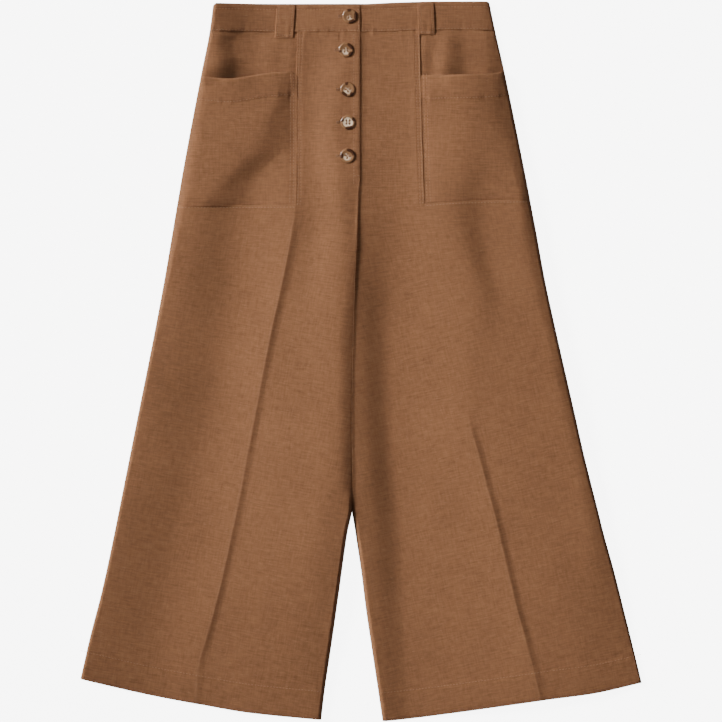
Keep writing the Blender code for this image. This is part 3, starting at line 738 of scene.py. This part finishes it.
def linen_finish(name, lean=0.0, pivot=0.0, seed=0.0):
    """Plain-weave linen. Its warp runs down, and leans with a leg from the hip down, round x at the pivot."""
    finish = Finish(name, Specular_IOR_Level=0.2, Sheen_Weight=0.05, Sheen_Roughness=0.5)
    x, depth = finish.place()
    across, down = x, depth
    if lean:
        below = (depth - GRAIN_TURNS).math("MAXIMUM", 0.0)
        across = x - below * lean
        down = depth + (x - pivot) * depth.between(GRAIN_TURNS - 60, GRAIN_TURNS + 160) * lean
    wander = finish.noise(across / 14, down / 14, seed + 5, 1.0) * 2.2
    across, down = across + wander, down + wander
    weft = finish.noise(across / 22, down / 1.8, seed + 1, 3.0, 0.6)
    warp = finish.noise(across / 1.8, down / 22, seed + 2, 3.0, 0.6)
    mottle = finish.noise(across / 6, down / 6, seed + 3)
    broad = finish.noise(across / 80, down / 80, seed + 4)
    fleck = finish.noise(across / 7, down / 0.9, seed + 6, 1.0).between(0.64, 0.76)
    tone = weft + (warp - 0.5) * 0.65 + (mottle - 0.5) * 0.5 + (broad - 0.5) * 0.35
    warp_wave = (across * (math.pi / YARN_PITCH)).math("SINE")
    weft_wave = (down * (math.pi / YARN_PITCH)).math("SINE")
    over = (warp_wave * weft_wave).between(-0.12, 0.12)
    yarn = warp_wave.math("ABSOLUTE") * over + weft_wave.math("ABSOLUTE") * (1 - over)
    # The painted number lightens the cloth with wear on folded edges above 0, and below 0 darkens it with
    # painted shade behind the pocket mouths.
    wear_and_painted_shade = finish.painted("wear_and_painted_shade")
    cloth = finish.mix(LINEN_DARK, LINEN_LIGHT, tone + (yarn - 0.6) * 0.25)
    cloth = finish.mix(cloth, LINEN_FLECK, fleck * 0.35)
    cloth = finish.mix(cloth, LINEN_WORN, wear_and_painted_shade.math("MAXIMUM", 0.0) * (0.25 + mottle * 0.5))
    # Painted shade: below 0 the cloth darkens towards the shade colour.
    cloth = finish.mix(cloth, LINEN_PAINTED_SHADE, (0.0 - wear_and_painted_shade).math("MAXIMUM", 0.0))
    relief = finish.bump(yarn * 0.35 + weft * 0.6 + warp * 0.4, 0.4)
    finish.shade(Base_Color=cloth, Roughness=0.82 + (weft - 0.5) * 0.3 - wear_and_painted_shade * 0.05, Normal=relief)
    return finish.material


def thread_finish(name, shade=1.0):
    """Thread in the colour of the cloth, a little lighter or in a darker shade, with its twist."""
    finish = Finish(name, Specular_IOR_Level=0.3)
    x, depth = finish.place()
    twist = ((x + depth) * 5.5).math("SINE")
    fade = finish.noise(x / 12, depth / 12, 31.0)
    dark, light = (rgb(*(part * shade for part in colour)) for colour in (THREAD_DARK, THREAD_LIGHT))
    colour = finish.mix(dark, light, fade + twist * 0.12)
    finish.shade(Base_Color=colour, Roughness=0.6 + twist * 0.08, Normal=finish.bump(twist, 0.1))
    return finish.material


def tortoiseshell_finish():
    """Polished resin: dark brown arcs at the rim, and warm cream that shows through a tan."""
    finish = Finish("tortoiseshell_resin", Specular_IOR_Level=0.45, Coat_Weight=0.25, Coat_Roughness=0.2)
    x, depth = finish.place()
    swirl = finish.noise(x / 5, depth / 5, 11.0, 2.0, 0.6)
    smoke = finish.noise(x / 3, depth / 3, 17.0, 3.0, 0.7)
    milk = (finish.painted("cream") + (swirl - 0.5) * 0.9).between(0.15, 0.8)
    light = finish.mix(RESIN_TAN, RESIN_CREAM, milk)
    brown = finish.mix(RESIN_BLACK, RESIN_BROWN, smoke)
    shade = (finish.painted("dark") + (swirl - 0.5) * 0.5).between(0.30, 0.62)
    finish.shade(
        Base_Color=finish.mix(light, brown, shade),
        Roughness=0.24 + smoke * 0.14,
        Normal=finish.bump(smoke, 0.05),
    )
    return finish.material


def floor_finish():
    finish = Finish("pale_floor", Specular_IOR_Level=0.1, Emission_Strength=FLOOR_GLOW)
    x, depth = finish.place()
    grain = finish.noise(x / 3, depth / 3, 41.0)
    finish.shade(
        Base_Color=finish.mix(FLOOR_GREY, FLOOR_WHITE, grain),
        Emission_Color=rgb(1.0, 1.0, 1.0),
        Roughness=0.7 + grain * 0.1,
    )
    return finish.material


# Making the pieces


def across(leg, stop, depth, inset=0.0):
    """x at a stop: 0 on the side seam, 1 on the front seam or crease, 2 on the centre or inseam."""
    side, seam, inner = (edge(leg, column, depth) for column in ("side", "seam", "inner"))
    seam = seam + inset * np.sign(side - seam)
    return np.where(stop <= 1, side + (seam - side) * stop, seam + (inner - seam) * (stop - 1))


def between_edges(outer, inner):
    """x at a stop from 0 on one edge to 1 on another. Each edge is a function of the depth."""
    return lambda stop, depth: outer(depth) * (1 - stop) + inner(depth) * stop


def between_lines(x_at, *lines):
    """x and depth at a stop and a row. Row 0 is the first line across, row 1 the second and so on."""

    def place(stop, row):
        span = np.clip(row.astype(int), 0, len(lines) - 2)
        depth = np.full(row.shape, LENGTH / 2)
        for _ in range(SETTLING_ROUNDS):
            x = x_at(stop, depth)
            levels = np.stack([np.broadcast_to(line(x), x.shape) for line in lines])
            above, below = (np.take_along_axis(levels, span[None] + shift, 0)[0] for shift in (0, 1))
            depth = above + (below - above) * (row - span)
        return x, depth

    return place


def in_order(leg, stops):
    """Stops from the side seam inwards, turned round on the left leg so that x grows."""
    return stops if leg is RIGHT else stops[::-1]


def add_mesh(name, points, faces, finish):
    """A mesh piece from points in millimetres, which rides on the garment's one body."""
    mesh = bpy.data.meshes.new(name)
    mesh.from_pydata((np.asarray(points) * MM).tolist(), [], faces)
    mesh.shade_smooth()
    mesh.materials.append(finish)
    piece = bpy.data.objects.new(name, mesh)
    bpy.context.scene.collection.objects.link(piece)
    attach(piece, "root")
    return piece


def paint(piece, name, shares):
    """A number for each point of a piece, that its finish reads."""
    attribute = piece.data.attributes.new(name, "FLOAT", "POINT")
    attribute.data.foreach_set("value", np.asarray(shares, np.float32).ravel())


def unworn(x, depth):
    return np.zeros(np.shape(x))


def add_cloth(name, node, finish, stops, rows, place, face, wear_and_painted_shade=unworn, wall=CLOTH, cut_away=None):
    """One layer of cloth for a node. place gives x and depth at a stop across and a row down."""
    stop, row = np.meshgrid(stops, rows)
    x, depth = place(stop, row)
    corner = np.arange(stop.size).reshape(stop.shape)
    cells = np.stack([corner[:-1, :-1], corner[1:, :-1], corner[1:, 1:], corner[:-1, 1:]], axis=-1)
    if cut_away is not None:
        gone = cut_away(stop, row)
        cells = cells[~(gone[:-1, :-1] | gone[1:, :-1] | gone[1:, 1:] | gone[:-1, 1:])]
    used, faces = np.unique(cells.reshape(-1), return_inverse=True)
    points = np.stack([x, LENGTH / 2 - depth, face(x, depth)], axis=-1).reshape(-1, 3)[used]
    piece = add_mesh(name, points, faces.reshape(-1, 4).tolist(), finish)
    # Above 0 it is wear on folded edges, and below 0 it is painted shade behind the pocket mouths.
    paint(piece, "wear_and_painted_shade", wear_and_painted_shade(x, depth).ravel()[used])
    thicken = piece.modifiers.new("wall", "SOLIDIFY")
    thicken.thickness = wall * MM
    thicken.offset = -1.0
    soften = piece.modifiers.new("soft edges", "BEVEL")
    soften.width = EDGE_BEVEL * MM
    soften.segments = 2
    soften.limit_method = "ANGLE"
    soften.angle_limit = math.radians(60)
    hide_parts(node)
    return piece


def add_front(leg, finish):
    """The front leg: its centre part reaches the waist, and beside that it starts below the pocket."""

    def above_pocket(stop, row):
        return (stop < 1) & (row < 1)

    def wear_and_painted_shade(x, depth):
        past_seam = (x - edge(leg, "seam", depth)) * inwards(leg)
        below_hip = depth - level(leg.hip_line, x)
        crease = hump(past_seam / 2.2) * ease((depth - leg.creases[0].depth) / 60) * 0.5
        lap = hump((past_seam - 1) / 2.0) * (below_hip < 0) * 0.6
        shelf = hump((below_hip - 1.5) / 2.0) * (past_seam < 0) * 0.6
        hem = hump((level(leg.hem, x) - depth) / 2.5) * 0.5
        return crease + lap + shelf + hem

    name, node = f"front_leg_{leg.name}", f"front_{leg.name}"
    stops = in_order(leg, np.concatenate([crowded(0, 1, 56)[:-1], crowded(1, 2, 64)]))
    rows = spread((0, 0.98, 66), (0.98, 1.0, 4), (1.0, 1.02, 6), (1.02, 1.93, 160), (1.93, 2.0, 36))
    top, hip, hem = parallel(WAIST_SEAM, -TUCKED_UNDER), parallel(leg.hip_line), parallel(leg.hem)
    place = between_lines(partial(across, leg), top, hip, hem)
    face = partial(front_face, leg)
    return add_cloth(name, node, finish, stops, rows, place, face, wear_and_painted_shade, cut_away=above_pocket)


def add_hip_panel(leg, finish):
    """The side of the hip, behind the pocket, from the waist down to the leg."""

    def wear_and_painted_shade(x, depth):
        """Painted shade behind the pocket's mouth, where the panel dips in: values below 0 darken the cloth.
        """
        above_mouth = level(leg.mouth, x) - depth
        return -(1 - between(above_mouth, -1, 17)) * np.minimum(open_by(leg, x, 1.15) / 4, 0.9)

    name, node = f"side_panel_{leg.name}", f"hip_panel_{leg.name}"
    stops, rows = in_order(leg, crowded(0, 1, 44)), spread((0, 1, 70))
    x_at = partial(across, leg, inset=-TUCKED_UNDER)
    place = between_lines(x_at, parallel(WAIST_SEAM, -TUCKED_UNDER), parallel(leg.hip_line, TUCKED_UNDER))
    return add_cloth(name, node, finish, stops, rows, place, partial(hip_face, leg), wear_and_painted_shade)


def add_pocket(leg, finish):
    """A patch pocket on the hip panel, hemmed at its mouth."""

    def wear_and_painted_shade(x, depth):
        return hump((depth - level(leg.mouth, x)) / 2.0) * 0.5

    name, node = f"patch_pocket_{leg.name}", f"pocket_{leg.name}"
    stops = in_order(leg, crowded(0, 1, 60))
    rows = spread((0, 0.04, 6), (0.04, 0.15, 9), (0.15, 0.21, 8), (0.21, 0.96, 46), (0.96, 1.0, 6))
    tucked = TUCKED_UNDER * 0.7
    x_at = partial(across, leg, inset=-tucked)
    place = between_lines(x_at, parallel(leg.mouth), parallel(leg.hip_line, tucked))
    return add_cloth(name, node, finish, stops, rows, place, partial(pocket_face, leg), wear_and_painted_shade)


def band_end(leg):
    """x where a half of the front band ends: the left half goes on as far as the button stand."""
    return FLY_EDGE_X if leg is RIGHT else STAND_EDGE_X - STAND_WIDTH


def add_waistband_front(leg, finish):
    """Half of the front band."""

    def wear_and_painted_shade(x, depth):
        at_top = hump((depth - level(WAIST_TOP, x)) / 2.0)
        return (at_top + hump((level(WAIST_SEAM, x) - depth - 1) / 1.6)) * 0.5

    name, node = f"waistband_{leg.name}", f"waistband_front_{leg.name}"
    stops, rows = in_order(leg, crowded(0, 1, 90, 0.3)), crowded(0, 1, 26, 0.4)
    x_at = between_edges(partial(edge, leg, "side"), lambda depth: band_end(leg))
    place = between_lines(x_at, parallel(WAIST_TOP), parallel(WAIST_SEAM, -SEAM_GAP / 2))
    return add_cloth(name, node, finish, stops, rows, place, partial(band_face, leg), wear_and_painted_shade, WAISTBAND_CLOTH)


def add_button_stand(finish):
    """The strip under the lap that the buttons are sewn to."""
    stops, rows = np.linspace(0, 1, 9), np.linspace(0, 1, 60)
    x_at = between_edges(lambda depth: STAND_EDGE_X - STAND_WIDTH, lambda depth: STAND_EDGE_X)
    place = between_lines(x_at, parallel(WAIST_SEAM, -TUCKED_UNDER), lambda x: FLY_END)
    face = partial(flat_face, STAND_TOP)
    return add_cloth("fly_stand", "button_stand", finish, stops, rows, place, face)


def back_inner(leg, depth):
    """The back's centre edge and inseam. The two backs meet under the right front until the legs part."""
    inner = edge(leg, "inner", depth)
    beside = np.minimum(edge(RIGHT, "inner", depth), edge(LEFT, "inner", depth)) - BACKS_MEET
    return inner + (beside - inner) * (1 - between(depth, *BACKS_LEAVE))


def add_back(leg, finish):
    """A back leg, flat on the surface below."""
    name, node = f"back_leg_{leg.name}", f"back_{leg.name}"
    stops, rows = in_order(leg, crowded(0, 1, 40)), spread((0, 0.95, 120), (0.95, 1, 12))
    x_at = between_edges(partial(edge, leg, "side"), partial(back_inner, leg))
    place = between_lines(x_at, parallel(WAIST_SEAM, BACK_BAND_DROP), parallel(leg.hem))
    return add_cloth(name, node, finish, stops, rows, place, partial(flat_face, BACK_TOP))


def add_waistband_back(finish):
    stops, rows = np.linspace(0, 1, 80), np.linspace(0, 1, 14)
    x_at = between_edges(partial(edge, RIGHT, "side"), partial(edge, LEFT, "side"))
    place = between_lines(x_at, parallel(WAIST_TOP, 1.0), parallel(WAIST_SEAM, BACK_BAND_DROP))
    face = partial(flat_face, BACK_TOP)
    return add_cloth("waistband_behind", "waistband_back", finish, stops, rows, place, face)


def loop_x(loop, fraction, stop):
    """x on a belt loop, a fraction of the way down it."""
    return loop.top_x + (loop.low_x - loop.top_x) * fraction + loop.width * (stop - 0.5)


def loop_face(loop, x, depth):
    """Upper face of a belt loop, which arches over the band between its ends."""
    top = level(WAIST_TOP, x)
    fraction = np.clip((depth - top) / (loop.low_depth - top), 0.0, 1.0)
    stop = (x - loop_x(loop, fraction, 0.5)) / loop.width + 0.5
    tunnel = LOOP_BULGE * (ease(fraction / 0.3) - ease((fraction - 0.62) / 0.3))
    from_edge = (0.5 - np.abs(stop - 0.5)) * loop.width
    sides = -0.45 * hump(from_edge / 2.0) + stitch_dip(from_edge - LOOP_ROW)
    ends = -0.2 * hump((1 - fraction) * loop.low_depth / 2.0) - 0.6 * hump(fraction * 15)
    on_band = band_face(loop.leg, x, np.minimum(depth, level(WAIST_SEAM, x) - 4))
    return on_band + LOOP_CLOTH + LOOP_CLEAR + tunnel + sides + ends


def add_loop(loop, finish):
    """A belt loop: a folded strip over the band, sewn down above it and just below it."""

    def place(stop, row):
        x = loop_x(loop, row, stop)
        top = level(WAIST_TOP, x)
        return x, top + (loop.low_depth - top) * row

    def wear_and_painted_shade(x, depth):
        return hump((loop.low_depth - depth) / 2.0) * 0.5

    name = f"carrier_{loop.leg.name}"
    stops, rows = crowded(0, 1, 18, 0.4), crowded(0, 1, 34, 0.3)
    return add_cloth(name, loop.name, finish, stops, rows, place, partial(loop_face, loop), wear_and_painted_shade, LOOP_CLOTH)


# Stitching


def stitch_shape(sides=6, rings=4):
    """One stitch of length 2, width 2 and height 2 that lies along its first axis: points and faces."""
    points, faces = [(-1.0, 0.0, 0.0)], []
    for ring in range(1, rings):
        turn = math.pi * ring / rings
        reach = math.sin(turn)
        for side in range(sides):
            angle = math.tau * side / sides
            points.append((-math.cos(turn), reach * math.cos(angle), reach * math.sin(angle)))
    points.append((1.0, 0.0, 0.0))
    last = len(points) - 1
    for side in range(sides):
        following = (side + 1) % sides
        faces.append((0, 1 + following, 1 + side))
        for ring in range(rings - 2):
            first = 1 + ring * sides
            faces.append((first + side, first + following, first + sides + following, first + sides + side))
        faces.append((last, last - sides + side, last - sides + following))
    return np.array(points), faces


def stitch_places(x, depth, length, gap):
    """Starts and ends of the stitches along a line of points."""
    run = np.concatenate([[0.0], np.cumsum(np.hypot(np.diff(x), np.diff(depth)))])
    count = max(int((run[-1] + gap) / (length + gap)), 1)
    starts = np.arange(count) * (run[-1] + gap) / count
    ends = starts + (run[-1] + gap) / count - gap
    return [(np.interp(part, run, x), np.interp(part, run, depth)) for part in (starts, ends)]


def sew(name, seams, finish, length=STITCH, gap=STITCH_GAP, half_width=THREAD):
    """Rows of stitches as one piece. Each seam is a face and the x and depth of the points along it."""
    shape, shape_faces = stitch_shape()
    points, faces = [], []
    for face, x, depth in seams:
        places = stitch_places(np.asarray(x, float), np.asarray(depth, float), length, gap)
        ends = [np.stack([x, LENGTH / 2 - depth, face(x, depth)], axis=-1) for x, depth in places]
        for low, high in zip(*ends):
            middle, half = (low + high) / 2, (high - low) / 2
            reach = np.linalg.norm(half)
            sideways = np.array([-half[1], half[0], 0.0]) / max(math.hypot(half[0], half[1]), 1e-6)
            upwards = np.cross(half / reach, sideways)
            axes = np.stack([half, sideways * half_width, upwards * half_width])
            first = len(points) * len(shape)
            points.append(middle + np.array([0.0, 0.0, half_width * THREAD_LIFT]) + shape @ axes)
            faces.extend(tuple(first + corner for corner in face_corners) for face_corners in shape_faces)
    return add_mesh(name, np.concatenate(points), faces, finish)


def row_places(start, end):
    """Places about 3 mm apart along a row."""
    return np.linspace(start, end, max(int(abs(end - start) / 3), 2))


def row_down(face, x_at, start, end):
    """A row of stitches down a face, for sew."""
    depth = row_places(start, end)
    return face, np.broadcast_to(x_at(depth), depth.shape), depth


def row_across(face, depth_at, start, end):
    """A row of stitches across a face, for sew."""
    x = row_places(start, end)
    return face, x, np.broadcast_to(depth_at(x), x.shape)


def ends_at(leg, columns, depth):
    """x of two edges or seams at a depth, the lower first."""
    return sorted(float(edge(leg, column, depth)) for column in columns)


def front_stitching(leg, finish):
    """Topstitching of the front seam, the seam below the pocket, the hem and the fly."""
    face = partial(front_face, leg)
    start = WAIST_DEPTH + 3
    low = float(level(leg.hip_line, edge(leg, "seam", HIP_DEPTH)))
    hem_ends = ends_at(leg, ("side", "inner"), HEM_ENDS)
    hip_ends = ends_at(leg, ("side", "seam"), HIP_DEPTH + 4)
    seams = [
        *(row_down(face, partial(seam_x, leg, row), start, low) for row in SEAM_ROWS),
        row_across(face, parallel(leg.hem, -HEM_ROW), hem_ends[0] + 4, hem_ends[1] - 3),
        row_across(face, parallel(leg.hip_line, HIP_ROW), hip_ends[0] + 2, hip_ends[1] - 1),
    ]
    if leg is RIGHT:
        fly_x = FLY_EDGE_X - FLY_ROW
        seams.append(row_down(face, lambda depth: fly_x, start, FLY_END + 7))
        seams.append(row_across(face, lambda x: FLY_END - 3.5, fly_x, FLY_EDGE_X - 0.5))
    return sew(f"front_topstitch_{leg.name}", seams, finish)


def pocket_stitching(leg, finish):
    """Two rows along the pocket's inner edge, one along its hem."""
    face = partial(pocket_face, leg)
    side, seam = (float(edge(leg, column, POCKET_TOP + POCKET_HEM)) for column in ("side", "seam"))
    ends = sorted([side + 2 * inwards(leg), seam - 5 * inwards(leg)])
    seams = [row_down(face, partial(seam_x, leg, -row), POCKET_TOP, HIP_DEPTH) for row in POCKET_ROWS]
    seams.append(row_across(face, parallel(leg.mouth, POCKET_HEM), *ends))
    return sew(f"pocket_topstitch_{leg.name}", seams, finish)


def waistband_stitching(leg, finish):
    """A row near the top edge of the band, one just above its seam, and one that closes its right end."""
    face = partial(band_face, leg)
    centre = FLY_EDGE_X - 1.5 if leg is RIGHT else 0.5
    ends = sorted([float(edge(leg, "side", BAND_MIDDLE)) * 0.99, centre])
    lines = [parallel(WAIST_TOP, BAND_TOP_ROW), parallel(WAIST_SEAM, -BAND_LOW_ROW)]
    seams = [row_across(face, line, *ends) for line in lines]
    if leg is RIGHT:
        seams.append(row_down(face, lambda depth: FLY_EDGE_X - 2.0, 5, WAIST_DEPTH - 2))
    return sew(f"waistband_topstitch_{leg.name}", seams, finish)


def loop_stitching(loop, finish):
    """A row down each edge of a belt loop, and close rows that hold its lower end."""
    face = partial(loop_face, loop)
    seams = []
    for stop in (LOOP_ROW / loop.width, 1 - LOOP_ROW / loop.width):
        x_at = lambda depth: loop_x(loop, depth / loop.low_depth, stop)
        seams.append(row_down(face, x_at, 4, loop.low_depth - 2))
    ends = [float(loop_x(loop, 1.0, stop)) for stop in (0.12, 0.88)]
    for above in LOOP_TACKS:
        seams.append(row_across(face, lambda x: loop.low_depth - above, *ends))
    return sew(f"carrier_topstitch_{loop.leg.name}", seams, finish, 2.4, 0.5)


# Buttons


def fly_face(depth):
    """The upper face that a button lies on: the band's or the right front's."""
    return partial(band_face if depth < WAIST_DEPTH else front_face, RIGHT)


def hole_place(button, side, end):
    """x and y of one of a button's four holes, from its middle. side and end are -1 or 1."""
    half = BUTTON_HOLE_PITCH / 2
    turn_x, turn_y = math.cos(button.turn), math.sin(button.turn)
    return half * (side * turn_x - end * turn_y), half * (side * turn_y + end * turn_x)


def resin_shares(button, points):
    """How dark and how cream the resin is at each point of a button, measured from its centre."""
    reach = np.hypot(points[:, 0], points[:, 1]) / (BUTTON_DIAMETER / 2)
    degrees = np.degrees(np.arctan2(points[:, 1], points[:, 0]))
    dark = np.zeros(len(points))
    for arc in button.arcs:
        away = (degrees - arc.degrees + 180) % 360 - 180
        dark = np.maximum(dark, arc.share * hump(away / arc.half_width))
    low_left = np.hypot(points[:, 0] + 0.8, points[:, 1] + 2.0) / (CREAM_REACH * button.cream)
    cream = button.cream * (1 - ease(low_left)) * (1 - ease((reach - 0.62) / 0.2))
    return dark * ease((reach - 0.42) / 0.3), cream


def turned_blank():
    """Points in millimetres and faces of a button before its holes are bored."""
    mesh = bmesh.new()
    rings = []
    turns = [math.tau * step / BUTTON_STEPS for step in range(BUTTON_STEPS)]
    for share, z in BUTTON_PROFILE:
        r = share * BUTTON_DIAMETER / 2
        if r == 0:
            rings.append([mesh.verts.new((0, 0, z))] * BUTTON_STEPS)
        else:
            rings.append([mesh.verts.new((r * math.cos(turn), r * math.sin(turn), z)) for turn in turns])
    for upper, lower in zip(rings, rings[1:]):
        for step in range(BUTTON_STEPS):
            corners = [upper[step], lower[step], lower[step - 1], upper[step - 1]]
            mesh.faces.new(list(dict.fromkeys(corners)))
    bmesh.ops.recalc_face_normals(mesh, faces=mesh.faces)
    mesh.verts.index_update()
    points = np.array([tuple(vertex.co) for vertex in mesh.verts])
    faces = [tuple(vertex.index for vertex in face.verts) for face in mesh.faces]
    mesh.free()
    return points, faces


def bore(piece, centre):
    """Cuts one upright hole through a button, round a point in millimetres."""
    cutter = bmesh.new()
    radius = BUTTON_HOLE / 2 * MM
    bmesh.ops.create_cone(cutter, cap_ends=True, segments=20, radius1=radius, radius2=radius, depth=10 * MM)
    bmesh.ops.translate(cutter, vec=(centre * MM).tolist(), verts=cutter.verts)
    drill = bpy.data.meshes.new("drill")
    cutter.to_mesh(drill)
    cutter.free()
    tool = bpy.data.objects.new("drill", drill)
    bpy.context.scene.collection.objects.link(tool)
    hole = piece.modifiers.new("hole", "BOOLEAN")
    hole.operation = "DIFFERENCE"
    hole.solver = "EXACT"
    hole.object = tool
    bpy.context.view_layer.update()
    evaluated = piece.evaluated_get(bpy.context.evaluated_depsgraph_get())
    bored = bpy.data.meshes.new_from_object(evaluated)
    piece.modifiers.remove(hole)
    piece.data = bored
    bpy.data.objects.remove(tool, do_unlink=True)


def add_button(number, button, finish):
    """A turned four-hole button, flat on the highest cloth under it. Returns its centre."""
    points, faces = turned_blank()
    reach = BUTTON_DIAMETER * 0.3
    around = [(x, depth) for x in (-reach, 0, reach) for depth in (-reach, 0, reach)]
    face = fly_face(button.depth)
    rest = max(float(face(np.array(button.x + x), np.array(button.depth + depth))) for x, depth in around)
    centre = np.array([button.x, LENGTH / 2 - button.depth, rest])
    piece = add_mesh(f"fly_button_{number}", points + centre, faces, finish)
    for name, shares in zip(("dark", "cream"), resin_shares(button, points)):
        paint(piece, name, shares)
    for end in (-1, 1):
        for side in (-1, 1):
            bore(piece, centre + np.array([*hole_place(button, side, end), 1.2]))
    piece.data.set_sharp_from_angle(angle=math.radians(40))
    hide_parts(f"button_{number}")
    return centre


def sew_on_buttons(centres, finish):
    """Two bars of thread through the holes of each button, each of three strands."""
    bars = []
    for button, centre in zip(BUTTONS, centres):
        face = partial(flat_face, centre[2] + BUTTON_THREAD)
        for side in (-1, 1):
            (start_x, start_y), (end_x, end_y) = (hole_place(button, side, end) for end in (-1, 1))
            for shift in STRANDS:
                x = [button.x + start_x + shift, button.x + end_x + shift]
                bars.append((face, x, [button.depth - start_y, button.depth - end_y]))
    return sew("button_thread", bars, finish, 3.6, 0.2, 0.22)


def work_buttonholes(finish):
    """A buttonhole beside each button: two banks of close stitches and a bar at their end."""
    stitches = []
    for button in BUTTONS:
        face = fly_face(button.depth)
        rim = button.x - BUTTON_DIAMETER / 2
        for x in np.arange(rim - BUTTONHOLE_OUT, rim + BUTTONHOLE_IN, BUTTONHOLE_PITCH):
            for side in (-1, 1):
                stitches.append((face, [x, x], [button.depth + side * 0.25, button.depth + side * 1.7]))
        end = rim - BUTTONHOLE_OUT - 0.6
        stitches.append((face, [end, end], [button.depth - 1.9, button.depth + 1.9]))
    return sew("buttonhole_stitching", stitches, finish, 1.5, 0.1, 0.3)


# Sizes of the cuts


def cut_size(*parts):
    """Flat size and area of a cut in metres. A part is (leg, outer column, inner column, start, end)."""
    area, places = 0.0, []
    for leg, outer, inner, start, end in parts:
        depth = np.linspace(start, end, 61)
        ends = edge(leg, outer, depth), edge(leg, inner, depth)
        area += float(np.abs(ends[0] - ends[1]).mean() * (end - start))
        places += [*zip(ends[0], depth), *zip(ends[1], depth)]
    width, length = np.ptp(np.array(places), axis=0)
    return {"flat": (width * MM, length * MM), "area": area * MM * MM}


def strip_size(width, length):
    return {"flat": (width * MM, length * MM)}


# Stage, in metres

FLOOR_GLOW = 7.0  # makes it white without more light on the cloth
FLOOR_SIZE = 30.0
FLOOR_TOP = -0.2 * MM
CAMERA_HEIGHT = 3.6  # over the middle of the view
VIEW_MIDDLE = (0.0, 0.4 * MM, 4.0 * MM)
VIEW_WIDTH = 902.5 * MM
SENSOR = 36.0  # width in millimetres
KEY_AT = (0.0, 0.10, 0.0)  # middle of its beam
KEY_FROM = (-0.74, 0.36, 0.345)  # direction from there to the lamp
KEY_DISTANCE = 5.0
KEY_SIZE = 1.0
KEY_CONE = 20.0  # degrees
KEY_POWER = 5850.0
SKY_LIGHT = 0.18


def add_floor():
    mesh = bpy.data.meshes.new("floor")
    sheet = bmesh.new()
    bmesh.ops.create_grid(sheet, x_segments=2, y_segments=2, size=FLOOR_SIZE / 2)
    sheet.to_mesh(mesh)
    sheet.free()
    mesh.materials.append(floor_finish())
    floor = bpy.data.objects.new("floor", mesh)
    floor.location.z = FLOOR_TOP
    floor.visible_diffuse = False
    floor.visible_glossy = False
    bpy.context.scene.collection.objects.link(floor)


def add_key_light():
    """A wide soft beam from the upper left, whose middle is at the hips."""
    lamp = bpy.data.lights.new("key", "SPOT")
    lamp.shadow_soft_size = KEY_SIZE
    lamp.spot_size = math.radians(KEY_CONE)
    lamp.spot_blend = 1.0
    lamp.energy = KEY_POWER
    lamp.color = (1.0, 0.97, 0.93)
    light = bpy.data.objects.new("key", lamp)
    length = math.sqrt(sum(part * part for part in KEY_FROM))
    light.location = [at + part / length * KEY_DISTANCE for at, part in zip(KEY_AT, KEY_FROM)]
    from_above = math.acos(KEY_FROM[2] / length)
    light.rotation_euler = (from_above, 0.0, math.atan2(KEY_FROM[1], KEY_FROM[0]) + math.pi / 2)
    bpy.context.scene.collection.objects.link(light)


def add_sky_light():
    world = bpy.data.worlds.new("studio")
    bpy.context.scene.world = world
    world.use_nodes = True
    background = world.node_tree.nodes["Background"]
    background.inputs["Color"].default_value = rgb(1.0, 0.99, 0.97)
    background.inputs["Strength"].default_value = SKY_LIGHT


def add_camera():
    lens = bpy.data.cameras.new("camera")
    lens.sensor_width = SENSOR
    lens.lens = SENSOR * CAMERA_HEIGHT / VIEW_WIDTH
    lens.clip_end = 50.0
    camera = bpy.data.objects.new("camera", lens)
    camera.location = (VIEW_MIDDLE[0], VIEW_MIDDLE[1], VIEW_MIDDLE[2] + CAMERA_HEIGHT)
    bpy.context.scene.collection.objects.link(camera)
    bpy.context.scene.camera = camera


def sew_leg(leg, linen, straight, thread):
    """The back, the front, the hip panel, the pocket and the half band of one side."""
    back = add_back(leg, linen)
    cut_size((leg, "side", "inner", WAIST_DEPTH, HEM_MIDDLE))
    front = add_front(leg, linen)
    beside_pocket = (leg, "seam", "inner", WAIST_DEPTH, HIP_DEPTH)
    front_cut = cut_size(beside_pocket, (leg, "side", "inner", HIP_DEPTH, HEM_MIDDLE))
    front_stitching(leg, thread)
    side_panel = add_hip_panel(leg, straight)
    cut_size((leg, "side", "seam", WAIST_DEPTH, HIP_DEPTH))
    pocket = add_pocket(leg, straight)
    pocket_cut = cut_size((leg, "side", "seam", POCKET_TOP, HIP_DEPTH))
    pocket_stitching(leg, thread)
    band = add_waistband_front(leg, straight)
    length = abs(float(edge(leg, "side", BAND_MIDDLE)) - band_end(leg))
    strip_size(length, BAND_WIDTH)
    waistband_stitching(leg, thread)


def main():
    thread = thread_finish("sewing_thread")
    straight = linen_finish("linen_straight", seed=70.0)
    waistband_behind = add_waistband_back(straight)
    strip_size(*BACK_BAND)
    for number, leg in enumerate((RIGHT, LEFT), start=1):
        pivot = float(edge(leg, "seam", GRAIN_TURNS))
        linen = linen_finish(f"linen_{leg.name}", leg.lean, pivot, 20.0 * number)
        sew_leg(leg, linen, straight, thread)
    stand = add_button_stand(straight)
    strip_size(STAND_WIDTH, FLY_END - WAIST_DEPTH)
    for loop in LOOPS:
        carrier = add_loop(loop, straight)
        size = strip_size(loop.width, loop.low_depth)
        loop_stitching(loop, thread)
    resin = tortoiseshell_finish()
    centres = [add_button(number, button, resin) for number, button in enumerate(BUTTONS, start=1)]
    sew_on_buttons(centres, thread_finish("button_thread", 1.1))
    work_buttonholes(thread_finish("buttonhole_twist", 0.62))
    add_floor()
    add_key_light()
    add_sky_light()
    add_camera()


main()
